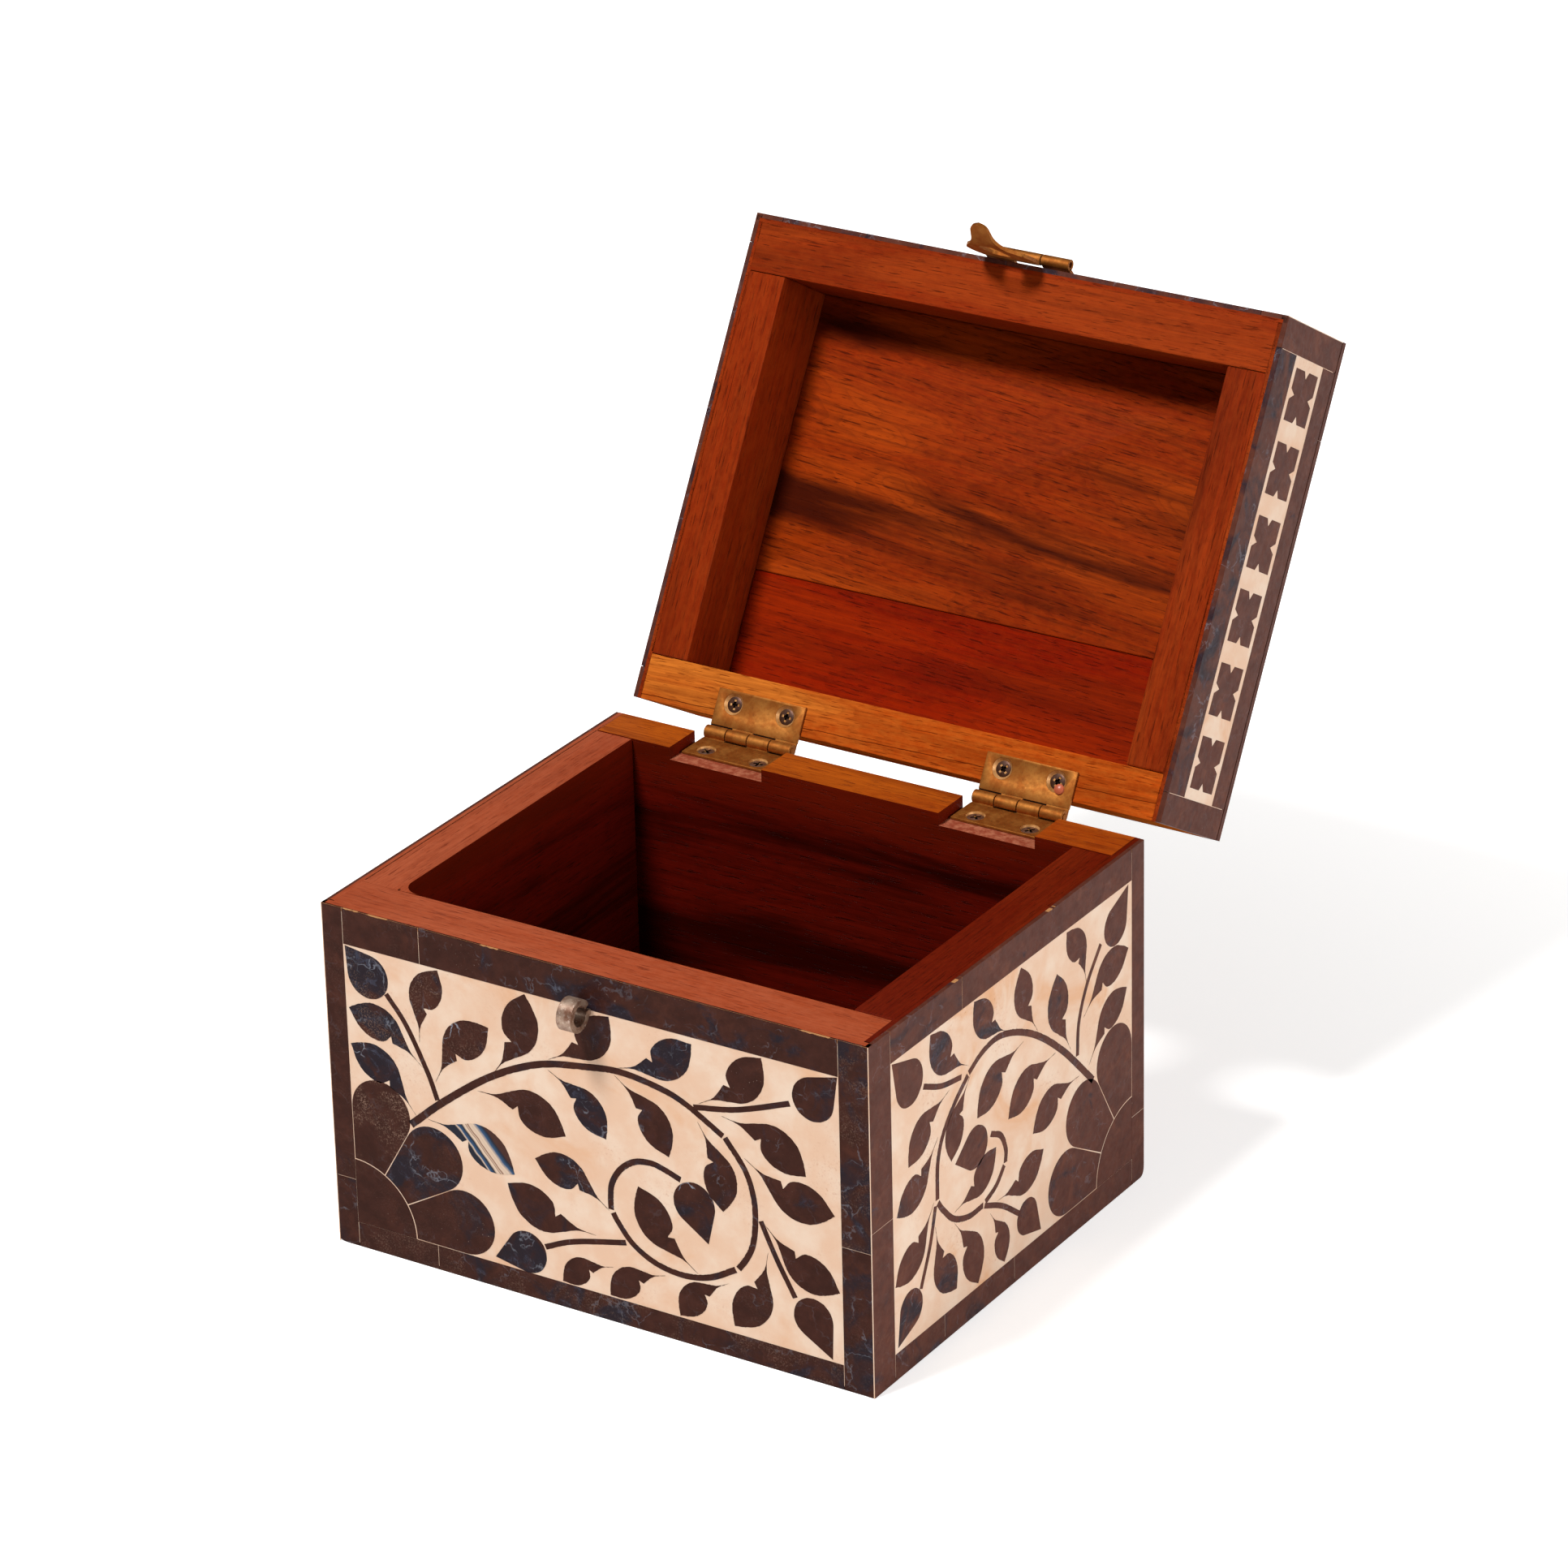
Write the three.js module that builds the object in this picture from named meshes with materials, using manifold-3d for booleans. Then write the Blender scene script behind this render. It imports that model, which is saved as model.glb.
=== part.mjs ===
// A small keepsake box of red-brown wood, veneered outside with dark and cream inlay.
// The lid is shown open. Millimetres, +Z up, X to the right, the front faces -Y.
// The origin is the middle of the base's underside.
import * as THREE from 'three';
import { mergeVertices } from 'three/addons/utils/BufferGeometryUtils.js';
import Module from 'manifold-3d';

const wasm = await Module();
wasm.setup();

// The box
const boxWidth = 152;
const boxDepth = 126;
const baseHeight = 91;
const lidHeight = 34.5;
const lidGap = 0.3;
const lidOpenAngle = THREE.MathUtils.degToRad(120);
const frontWall = 12.6;
const backWall = 11.6;
const sideWall = 10.7;
const bottomBoard = 8;
const lidRecess = 21.5;
const panelSeam = 23.8;
const glueLine = 0.1;
const cutOverrun = 1;

// The inlay skin: a dark bed and border on the wood, and a pierced cream ground on the bed.
// The back of the box is plain wood.
const skin = 2;
const groundThickness = 0.4;
const inlayJoint = 0.35;
const tileJointWidth = 0.4;
const tileJointDepth = 0.4;
const frontBorder = { left: 6, right: 8.2, bottom: 6.7, top: 9.6 };
const sideBorder = { left: 9.4, right: 6, bottom: 7.1, top: 8.4 };
const topBorder = { left: 8.2, right: 8.2, bottom: 8.2, top: 8.2 };
const lidBorder = { left: 8, right: 7.6, bottom: 9.4, top: 9.3 };

// Vines, stems and flower
const vineWidth = 1.9;
const ringWidth = 1.6;
const stemWidth = 1.4;
const vineJoint = 1.2;
const petalCount = 3;
const petalReachShare = 1.915;
const petalRadiusShare = 0.478;
const dropRadiusShare = 0.355;

// The sheets that the flowering patterns are drawn on, before they are stretched to their panels,
// and the radius of the disc in the middle of each sheet's flower
const frontSheet = { width: 137.8, height: 74.7, disc: 17.2 };
const sideSheet = { width: 110.6, height: 75.5, disc: 17.4 };
const topSheet = { width: 135.6, height: 109.6, disc: 25.2 };

// Cross pieces in the lid's strips
const crossLength = 13;
const crossHeight = 12.6;
const crossEndNotch = 1.9;
const crossSideNotch = 2.3;
const crossNotchHalf = 1.3;
const sideCrosses = 6;
const frontCrosses = 8;

// Butt hinges
const hingeLength = 25.4;
const hingeCentre = 38.9;
const hingeStandoff = 4.14;
const leafReach = 11.4;
const leafThickness = 1.1;
const leafRelief = 0.5;
const barrelRadius = 1.7;
const barrelBore = 0.95;
const hingePinRadius = 0.7;
const knuckleCount = 4;
const knuckleGap = 0.3;
const mortiseClearance = 0.8;

// Countersunk screws
const screwHeadRadius = 2.25;
const screwHeadDepth = 1.1;
const screwShankRadius = 0.9;
const screwLength = 7.5;
const screwReach = 8;
const screwSpreadShare = 0.3;
const screwCrossLength = 2.6;
const screwCrossWidth = 0.6;
const screwCrossDepth = 0.5;

// The catch: a swinging hasp on the lid and a rolled staple on the base
const catchX = -1.5;
const stapleDrop = 9.2;
const stapleWidth = 4;
const stapleRadius = 4.1;
const stapleStrip = 1.1;
const stapleClearance = 0.3;
const stapleLegThickness = 1.6;
const stapleLegLength = 7;
const haspPivotRise = 8;
const haspPivotStandoff = 2.8;
const haspBarrelRadius = 1.45;
const haspBore = 0.8;
const haspPinRadius = 0.6;
const haspKnuckle = 8;
const haspKnuckleCount = 3;
const haspSheet = 0.9;
const haspTail = 12;
const haspHalfWidth = 8.5;
const haspSlotSlack = 0.7;
const haspSlotCorner = 1.1;
const haspFaceGap = 0.4;
const haspLipRise = 4.2;
const haspLipBendShare = 0.33;
const bracketRise = 10.5;
const bracketFoot = 3.5;
const nailSpread = 8;
const nailRise = 6.6;
const nailHeadRadius = 1.5;
const nailHeadHeight = 0.7;
const nailCrownShare = 0.15;
const nailRadius = 0.6;
const nailLength = 7;

// Round stretches
const barrelSides = 12;
const screwSides = 8;
const dropSteps = 6;
const petalSteps = 6;
const petalRootSteps = 2;
const discSteps = 5;
const sheetSteps = 10;

// Where the pieces meet
const halfWidth = boxWidth / 2;
const halfDepth = boxDepth / 2;
const woodHalfWidth = halfWidth - skin;
const woodFront = skin - halfDepth;
const innerHalfWidth = woodHalfWidth - sideWall;
const innerFront = woodFront + frontWall;
const innerBack = halfDepth - backWall;
const stapleHeight = baseHeight - stapleDrop;
const stapleBore = stapleRadius - stapleStrip;
const stapleStandoff = stapleRadius + stapleClearance;
const haspSlotHalfWidth = stapleWidth / 2 + haspSlotSlack;
const haspSlotHalfLength = stapleRadius + haspSlotSlack;
const haspKnuckleHalf = (haspKnuckle - knuckleGap) / 2;
const haspBarrelHalf = haspKnuckle * haspKnuckleCount / 2;
const lidBottom = baseHeight + lidGap;
const lidWoodTop = lidBottom + lidHeight - skin;
const hingeY = halfDepth + hingeStandoff;
const hingeZ = lidBottom - glueLine - barrelRadius;
const mortiseFloor = hingeZ - barrelRadius - glueLine;
const screwY = hingeY - screwReach;
const haspPivotZ = lidBottom + haspPivotRise;
const haspPivotY = -halfDepth - haspPivotStandoff;
const haspReach = haspPivotZ - stapleHeight + haspTail;
const groundLift = skin - groundThickness;

// Leaf outline along its axis: share of the length, share of the length to the full side
const leafShares = [
  [0.02, 0], [0.22, 0.08], [0.45, 0.25], [0.65, 0.285], [0.85, 0.2], [1, 0],
  [0.82, -0.11], [0.6, -0.125], [0.447, 0.055], [0.39, 0],
];

// Each leaf: stalk end across and up, tip across and up, and the side of its full edge
const frontLeafShares = [
  [0.152, 0.72, 0.197, 0.995, 1], [0.182, 0.595, 0.298, 0.84, 1],
  [0.155, 0.635, 0.005, 0.778, -1], [0.137, 0.452, 0.005, 0.65, -1],
  [0.303, 0.68, 0.376, 0.995, -1], [0.42, 0.787, 0.547, 0.995, -1],
  [0.418, 0.75, 0.533, 0.56, 1], [0.27, 0.605, 0.45, 0.53, 1],
  [0.162, 0.452, 0.34, 0.34, 1], [0.555, 0.795, 0.66, 0.56, 1],
  [0.56, 0.823, 0.712, 0.977, -1], [0.724, 0.778, 0.85, 0.995, -1],
  [0.768, 0.756, 0.933, 0.625, 1], [0.812, 0.63, 0.988, 0.515, -1],
  [0.848, 0.418, 0.995, 0.25, -1], [0.854, 0.32, 0.783, 0.025, 1],
  [0.773, 0.17, 0.673, 0.005, -1], [0.645, 0.133, 0.53, 0.005, -1],
  [0.538, 0.108, 0.432, 0.005, -1], [0.505, 0.205, 0.324, 0.303, 1],
  [0.535, 0.308, 0.384, 0.42, -1], [0.712, 0.173, 0.595, 0.425, 1],
  [0.72, 0.713, 0.766, 0.42, 1],
];
const sideLeafShares = [
  [0.313, 0.79, 0.158, 0.995, 1], [0.475, 0.803, 0.335, 0.995, 1],
  [0.595, 0.728, 0.528, 0.99, 1], [0.735, 0.57, 0.678, 0.873, 1],
  [0.804, 0.76, 0.72, 0.99, -1], [0.79, 0.653, 0.99, 0.79, 1],
  [0.813, 0.465, 0.978, 0.637, 1], [0.23, 0.76, 0.064, 0.605, -1],
  [0.182, 0.63, 0.015, 0.465, 1], [0.163, 0.417, 0.005, 0.23, 1],
  [0.167, 0.33, 0.25, 0.055, -1], [0.243, 0.29, 0.338, 0.01, 1],
  [0.39, 0.223, 0.448, 0.01, 1], [0.42, 0.245, 0.616, 0.297, -1],
  [0.245, 0.325, 0.418, 0.438, -1], [0.315, 0.755, 0.235, 0.51, -1],
  [0.536, 0.73, 0.342, 0.588, -1], [0.67, 0.602, 0.47, 0.5, -1],
  [0.77, 0.455, 0.572, 0.38, -1],
];

// Each bud: point across and up, round end across and up
const frontBudShares = [
  [0.005, 0.995, 0.078, 0.85], [0.995, 0.995, 0.923, 0.843], [0.978, 0.007, 0.923, 0.195],
  [0.292, 0.022, 0.397, 0.1], [0.735, 0.29, 0.693, 0.488],
];
const sideBudShares = [
  [0.005, 0.995, 0.11, 0.83], [0.985, 0.995, 0.9, 0.83], [0.012, 0.015, 0.095, 0.165],
  [0.603, 0.02, 0.515, 0.15], [0.25, 0.49, 0.383, 0.495],
];

// Middle lines of the vines and stems, from the flower outwards. Each ring starts where the last line ends.
const frontVineShares = [
  [0.125, 0.415], [0.2, 0.535], [0.3, 0.67], [0.4, 0.76], [0.5, 0.803], [0.57, 0.813],
  [0.65, 0.785], [0.705, 0.753], [0.772, 0.684],
];
const frontRingShares = [
  [[0.772, 0.684], [0.81, 0.625], [0.827, 0.55], [0.832, 0.45], [0.828, 0.35], [0.81, 0.27], [0.792, 0.227]],
  [[0.792, 0.227], [0.74, 0.175], [0.69, 0.152], [0.635, 0.163], [0.58, 0.21], [0.542, 0.304]],
  [[0.542, 0.304], [0.538, 0.37], [0.55, 0.43], [0.58, 0.495], [0.625, 0.52], [0.683, 0.493]],
];
const frontStemShares = [
  [[0.184, 0.535], [0.165, 0.635], [0.126, 0.77], [0.087, 0.86]],
  [[0.713, 0.76], [0.8, 0.795], [0.903, 0.862]],
  [[0.398, 0.11], [0.46, 0.16], [0.555, 0.212]],
  [[0.842, 0.42], [0.87, 0.31], [0.906, 0.19]],
];
const sideVineShares = [
  [0.832, 0.4], [0.77, 0.49], [0.7, 0.595], [0.62, 0.685], [0.55, 0.75], [0.48, 0.795], [0.42, 0.813],
  [0.36, 0.795], [0.297, 0.753],
];
const sideRingShares = [
  [[0.297, 0.753], [0.25, 0.7], [0.2, 0.625], [0.178, 0.53], [0.179, 0.412]],
  [[0.179, 0.412], [0.2, 0.36], [0.24, 0.305], [0.3, 0.27], [0.371, 0.274]],
  [[0.371, 0.274], [0.415, 0.3], [0.453, 0.358]],
  [[0.453, 0.358], [0.458, 0.42], [0.437, 0.472], [0.397, 0.497]],
];
const sideStemShares = [
  [[0.275, 0.775], [0.2, 0.79], [0.13, 0.835]],
  [[0.763, 0.545], [0.775, 0.66], [0.808, 0.765], [0.861, 0.855]],
  [[0.375, 0.255], [0.44, 0.215], [0.505, 0.145]],
  [[0.168, 0.39], [0.145, 0.28], [0.108, 0.165]],
];

// Joints across the border's strips, as shares of the panel, and steps of each drawn line
const frontTileShares = { top: [0.16], bottom: [0.17], left: [0.155], right: [0.416] };
const sideTileShares = { top: [0.287], bottom: [0.2, 0.49], left: [0.475], right: [0.152] };
const vineSteps = 11;
const ringSteps = 5;
const stemSteps = 3;

// Hasp leaf: share of the reach, share of the half width
const haspOutlineShares = [
  [0.12, 0.58], [0.23, 0.82], [0.34, 0.95], [0.47, 1], [0.6, 0.94], [0.72, 0.72], [0.79, 0.5],
  [0.86, 0.36], [0.94, 0.31], [0.98, 0.24], [1, 0.12],
];

const paint = {
  wood: { color: 0x7a2c12, roughness: 0.35, metalness: 0 },
  paleWood: { color: 0xa85a1e, roughness: 0.35, metalness: 0 },
  panelWood: { color: 0x8a3412, roughness: 0.3, metalness: 0 },
  dark: { color: 0x2c1c18, roughness: 0.35, metalness: 0 },
  cream: { color: 0xeccbae, roughness: 0.45, metalness: 0 },
  brass: { color: 0x9a7030, roughness: 0.35, metalness: 1 },
  steel: { color: 0x8a8078, roughness: 0.4, metalness: 1 },
  screw: { color: 0x3a3028, roughness: 0.35, metalness: 1 },
};

function solid(geometry) {
  geometry.deleteAttribute('normal');
  geometry.deleteAttribute('uv');
  const merged = mergeVertices(geometry);
  const vertProperties = new Float32Array(merged.attributes.position.array);
  const triVerts = new Uint32Array(merged.index.array);
  return new wasm.Manifold(new wasm.Mesh({ numProp: 3, vertProperties, triVerts }));
}

function join(solids) {
  return solids.reduce((whole, piece) => whole.add(piece));
}

function cut(body, tools) {
  return tools.reduce((left, tool) => left.subtract(tool), body);
}

function named(name, body, finish) {
  const mesh = body.getMesh();
  const geometry = new THREE.BufferGeometry();
  geometry.setAttribute('position', new THREE.BufferAttribute(mesh.vertProperties, 3));
  geometry.setIndex(new THREE.BufferAttribute(mesh.triVerts, 1));
  geometry.computeVertexNormals();
  const piece = new THREE.Mesh(geometry, new THREE.MeshStandardMaterial(finish));
  piece.name = name;
  return piece;
}

function block(x, y, z) {
  const geometry = new THREE.BoxGeometry(x[1] - x[0], y[1] - y[0], z[1] - z[0]);
  geometry.translate((x[0] + x[1]) / 2, (y[0] + y[1]) / 2, (z[0] + z[1]) / 2);
  return solid(geometry);
}

// An outline pushed from low to high along the third of three right-handed directions
function prism(outline, low, high, across, along, out) {
  const shape = new THREE.Shape(outline);
  const geometry = new THREE.ExtrudeGeometry(shape, { depth: high - low, bevelEnabled: false });
  geometry.translate(0, 0, low);
  geometry.applyMatrix4(new THREE.Matrix4().makeBasis(across, along, out));
  return solid(geometry);
}

const axisX = new THREE.Vector3(1, 0, 0);
const axisY = new THREE.Vector3(0, 1, 0);
const axisZ = new THREE.Vector3(0, 0, 1);

function prismAlongX(outline, low, high) {
  return prism(outline, low, high, axisY, axisZ, axisX);
}

function prismAlongZ(outline, low, high) {
  return prism(outline, low, high, axisX, axisY, axisZ);
}

function point(x, y) {
  return new THREE.Vector2(x, y);
}

function arcPoints(centre, radius, start, end, steps) {
  return Array.from({ length: steps + 1 }, (_, i) => {
    const angle = start + (end - start) * i / steps;
    return point(centre.x + radius * Math.cos(angle), centre.y + radius * Math.sin(angle));
  });
}

function circle(centre, radius, sides) {
  return arcPoints(centre, radius, 0, 2 * Math.PI, sides).slice(0, sides);
}

// A line of even width along a smooth middle line
function ribbon(middle, width, steps) {
  const line = new THREE.SplineCurve(middle);
  const edge = (side) => Array.from({ length: steps + 1 }, (_, i) => {
    const at = line.getPoint(i / steps);
    const way = line.getTangent(i / steps);
    return point(at.x - side * way.y * width / 2, at.y + side * way.x * width / 2);
  });
  return [...edge(-1), ...edge(1).reverse()];
}

// A narrow bar across the vine, where one piece of it ends and the next begins
function jointOutline(place, next) {
  const way = next.clone().sub(place).normalize();
  const across = point(-way.y, way.x).multiplyScalar(vineWidth);
  return ribbon([place.clone().sub(across), place.clone().add(across)], vineJoint, 1);
}

function leafOutline(stalk, tip, side) {
  const axis = tip.clone().sub(stalk);
  const out = point(-axis.y, axis.x).multiplyScalar(side);
  return leafShares.map(([along, across]) => (
    stalk.clone().addScaledVector(axis, along).addScaledVector(out, across)
  ));
}

function budOutline(tip, end) {
  const axis = end.clone().sub(tip);
  const radius = axis.length() * dropRadiusShare;
  const centre = tip.clone().addScaledVector(axis, 1 - dropRadiusShare);
  const turn = Math.PI - Math.acos(radius / centre.distanceTo(tip));
  return [tip, ...arcPoints(centre, radius, axis.angle() - turn, axis.angle() + turn, dropSteps)];
}

// A corner flower: a quarter disc and its petals; way is 1 from the left corner and -1 from the right
function flowerOutlines(sheet, way) {
  const disc = sheet.disc;
  const reach = disc * petalReachShare;
  const radius = disc * petalRadiusShare;
  const turned = (p) => (way > 0 ? p : point(sheet.width - p.x, p.y));
  const middle = point(0, 0);
  const sector = Math.PI / 2 / petalCount;
  const slack = inlayJoint / disc / 2;
  const petal = (index) => {
    const start = sector * index;
    const heading = start + sector / 2;
    const centre = point(reach * Math.cos(heading), reach * Math.sin(heading));
    const root = arcPoints(middle, disc + inlayJoint, start + sector - slack, start + slack, petalRootSteps);
    const side = Math.PI / 2 + Math.asin(radius / reach) / 2;
    return [...root, ...arcPoints(centre, radius, heading - side, heading + side, petalSteps)];
  };
  const quarter = [middle, ...arcPoints(middle, disc, 0, Math.PI / 2, discSteps)];
  const petals = Array.from({ length: petalCount }, (_, index) => petal(index));
  return [quarter, ...petals].map((outline) => outline.map(turned));
}

function sorted(outline) {
  return THREE.ShapeUtils.isClockWise(outline) ? [...outline].reverse() : outline;
}

// The openings that the dark pieces leave in the cream ground of a flowering panel.
// They are drawn on the pattern's own sheet, which is then stretched to the panel.
function floralHoles(panel, pattern, sheet) {
  const at = ([u, v]) => point(u * sheet.width, v * sheet.height);
  const low = -cutOverrun;
  const high = skin + cutOverrun;
  const hole = (outline) => prismAlongZ(sorted(outline), low, high);
  const lines = [
    [pattern.vine.map(at), vineWidth, vineSteps],
    ...pattern.rings.map((ring) => [ring.map(at), ringWidth, ringSteps]),
  ];
  const ribs = lines.map(([middle, width, steps]) => hole(ribbon(middle, width, steps)));
  const joints = pattern.rings.map((ring) => hole(jointOutline(at(ring[0]), at(ring[1]))));
  const vines = cut(join(ribs), joints);
  const guard = join(lines.map(([middle, width, steps]) => hole(ribbon(middle, width + 2 * inlayJoint, steps))));
  const stems = pattern.stems.map((stem) => hole(ribbon(stem.map(at), stemWidth, stemSteps)).subtract(guard));
  const stemGuard = join(pattern.stems.map((stem) => (
    hole(ribbon(stem.map(at), stemWidth + 2 * inlayJoint, stemSteps))
  )));
  const grownSheet = { ...sheet, disc: sheet.disc + inlayJoint };
  const flowerGuard = join(flowerOutlines(grownSheet, pattern.flowerWay).map(hole));
  const leaves = pattern.leaves.map(([u0, v0, u1, v1, side]) => (
    cut(hole(leafOutline(at([u0, v0]), at([u1, v1]), side)), [guard, stemGuard, flowerGuard])
  ));
  const buds = pattern.buds.map(([u0, v0, u1, v1]) => hole(budOutline(at([u0, v0]), at([u1, v1]))));
  const flower = flowerOutlines(sheet, pattern.flowerWay).map(hole);
  const drawn = join([vines, ...stems, ...leaves, ...buds, ...flower]);
  return drawn
    .scale([panel.width / sheet.width, panel.height / sheet.height, 1])
    .translate([panel.left, panel.bottom, 0]);
}

function crossOutline(centre) {
  const x = crossLength / 2;
  const y = crossHeight / 2;
  const n = crossNotchHalf;
  const quarter = [[x, -y], [x, -n], [x - crossEndNotch, 0], [x, n], [x, y], [n, y], [0, y - crossSideNotch]];
  const half = [...quarter, [-n, y], [-x, y], [-x, n], [crossEndNotch - x, 0], [-x, -n], [-x, -y]];
  const outline = [...half, [-n, -y], [0, crossSideNotch - y], [n, -y]];
  return outline.map(([a, b]) => point(centre.x + a, centre.y + b));
}

function crossHoles(panel, count) {
  const pitch = panel.width / count;
  const crosses = Array.from({ length: count }, (_, i) => {
    const centre = point(panel.left + pitch * (i + 0.5), panel.bottom + panel.height / 2);
    return prismAlongZ(sorted(crossOutline(centre)), -cutOverrun, skin + cutOverrun);
  });
  return join(crosses);
}

const frontPattern = {
  leaves: frontLeafShares,
  buds: frontBudShares,
  vine: frontVineShares,
  rings: frontRingShares,
  stems: frontStemShares,
  flowerWay: 1,
};
const sidePattern = {
  leaves: sideLeafShares,
  buds: sideBudShares,
  vine: sideVineShares,
  rings: sideRingShares,
  stems: sideStemShares,
  flowerWay: -1,
};

function panelOf(face) {
  const { width, height, border } = face;
  return {
    left: border.left,
    right: width - border.right,
    bottom: border.bottom,
    top: height - border.top,
    width: width - border.left - border.right,
    height: height - border.bottom - border.top,
  };
}

// The thin joints between the border's tiles, drawn as shallow grooves
function tileJoints(face, panel) {
  const half = tileJointWidth / 2;
  const depth = [skin - tileJointDepth, skin + cutOverrun];
  const upright = (x, low, high) => block([x - half, x + half], [low, high], depth);
  const level = (y, low, high) => block([low, high], [y - half, y + half], depth);
  const below = [-cutOverrun, panel.bottom + half];
  const above = [panel.top - half, face.height + cutOverrun];
  const before = [-cutOverrun, panel.left + half];
  const after = [panel.right - half, face.width + cutOverrun];
  const corners = [panel.left - half, panel.right + half].flatMap((x) => (
    [upright(x, ...below), upright(x, ...above)]
  ));
  const along = (share) => panel.left + share * panel.width;
  const up = (share) => panel.bottom + share * panel.height;
  return [
    ...corners,
    ...face.tiles.top.map((share) => upright(along(share), ...above)),
    ...face.tiles.bottom.map((share) => upright(along(share), ...below)),
    ...face.tiles.left.map((share) => level(up(share), ...before)),
    ...face.tiles.right.map((share) => level(up(share), ...after)),
  ];
}

// One veneered face, drawn flat: x across, y up, z out of the wood
function veneeredFace(face) {
  const panel = panelOf(face);
  const sheet = (inset, low, high) => block(
    [panel.left + inset, panel.right - inset],
    [panel.bottom + inset, panel.top - inset],
    [low, high],
  );
  const outer = block([face.trimLeft, face.width - face.trimRight], [0, face.height], [glueLine, skin]);
  const border = cut(outer, [sheet(0, -cutOverrun, skin + cutOverrun), ...tileJoints(face, panel)]);
  const bed = sheet(glueLine, glueLine, groundLift - glueLine);
  const ground = sheet(glueLine, groundLift, skin).subtract(face.holes(panel));
  const group = new THREE.Group();
  const drawn = [
    [`${face.name}_border`, border, paint.dark],
    [`${face.name}_leaf_inlay`, bed, paint.dark],
    [`${face.name}_cream_ground`, ground, paint.cream],
  ];
  drawn.forEach(([name, body, finish]) => {
    group.add(named(name, cut(body, face.cuts ?? []), finish));
  });
  return group;
}

// Sides stand up and are turned about Z: 0 for the front, 1 for the right and -1 for the left.
// A side gives way to the front's skin at its front end.
function standFace(face, origin, quarterTurns) {
  const butt = skin + glueLine;
  const trims = { trimLeft: quarterTurns > 0 ? butt : 0, trimRight: quarterTurns < 0 ? butt : 0 };
  const group = veneeredFace({ ...face, ...trims });
  group.rotation.set(Math.PI / 2, 0, quarterTurns * Math.PI / 2, 'ZXY');
  group.position.set(...origin);
  return group;
}

function hingeMortise(centre, low, high) {
  const half = hingeLength / 2 + mortiseClearance;
  return block([centre - half, centre + half], [innerBack - cutOverrun, halfDepth + cutOverrun], [low, high]);
}

const hingeCentres = { left: -hingeCentre, right: hingeCentre };
const screwOffsets = { left: -hingeLength * screwSpreadShare, right: hingeLength * screwSpreadShare };

function upright(outlineRadius, x, y, low, high) {
  return prismAlongZ(circle(point(x, y), outlineRadius, screwSides), low, high);
}

function screwPlaces() {
  return Object.entries(hingeCentres).flatMap(([hinge, centre]) => (
    Object.entries(screwOffsets).map(([side, offset]) => ({ name: `${hinge}_hinge_${side}`, x: centre + offset }))
  ));
}

function pilotHoles(low, high) {
  return screwPlaces().map(({ x }) => upright(screwShankRadius + glueLine, x, screwY, low, high));
}

function staplePocket() {
  const x = stapleWidth / 2 + glueLine;
  const z = stapleLegThickness / 2 + glueLine;
  return block(
    [catchX - x, catchX + x],
    [-halfDepth - cutOverrun, -halfDepth + stapleLegLength + glueLine],
    [stapleHeight - z, stapleHeight + z],
  );
}

function baseCarcass() {
  const long = [-woodHalfWidth, woodHalfWidth];
  const tall = [0, baseHeight];
  const between = [innerFront + glueLine, innerBack - glueLine];
  const mortises = Object.values(hingeCentres).map((x) => hingeMortise(x, mortiseFloor, baseHeight + cutOverrun));
  const screwTop = hingeZ - barrelRadius + leafThickness;
  const pilots = pilotHoles(screwTop - screwLength - glueLine, baseHeight);
  const front = block(long, [woodFront, innerFront], tall).subtract(staplePocket());
  const back = cut(block(long, [innerBack, halfDepth], tall), [...mortises, ...pilots]);
  const board = block(
    [glueLine - innerHalfWidth, innerHalfWidth - glueLine],
    between,
    [0, bottomBoard],
  );
  return [
    named('front_wall', front, paint.wood),
    named('back_wall', back, paint.paleWood),
    named('left_wall', block([-woodHalfWidth, -innerHalfWidth], between, tall), paint.wood),
    named('right_wall', block([innerHalfWidth, woodHalfWidth], between, tall), paint.wood),
    named('bottom_board', board, paint.panelWood),
  ];
}

function flatCut(x, y) {
  return block(x, y, [-cutOverrun, skin + cutOverrun]);
}

function baseFaces() {
  const front = {
    name: 'front', width: boxWidth, height: baseHeight, border: frontBorder, tiles: frontTileShares,
    holes: (panel) => floralHoles(panel, frontPattern, frontSheet),
  };
  const side = {
    width: boxDepth, height: baseHeight, border: sideBorder, tiles: sideTileShares,
    holes: (panel) => floralHoles(panel, sidePattern, sideSheet),
  };
  const pocket = stapleWidth / 2 + glueLine;
  const leg = stapleLegThickness / 2 + glueLine;
  const stapleX = halfWidth + catchX;
  const stapleCut = flatCut([stapleX - pocket, stapleX + pocket], [stapleHeight - leg, stapleHeight + leg]);
  return [
    standFace({ ...front, cuts: [stapleCut] }, [-halfWidth, woodFront, 0], 0),
    standFace({ ...side, name: 'right' }, [woodHalfWidth, -halfDepth, 0], 1),
    standFace({ ...side, name: 'left' }, [-woodHalfWidth, halfDepth, 0], -1),
  ];
}

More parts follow.
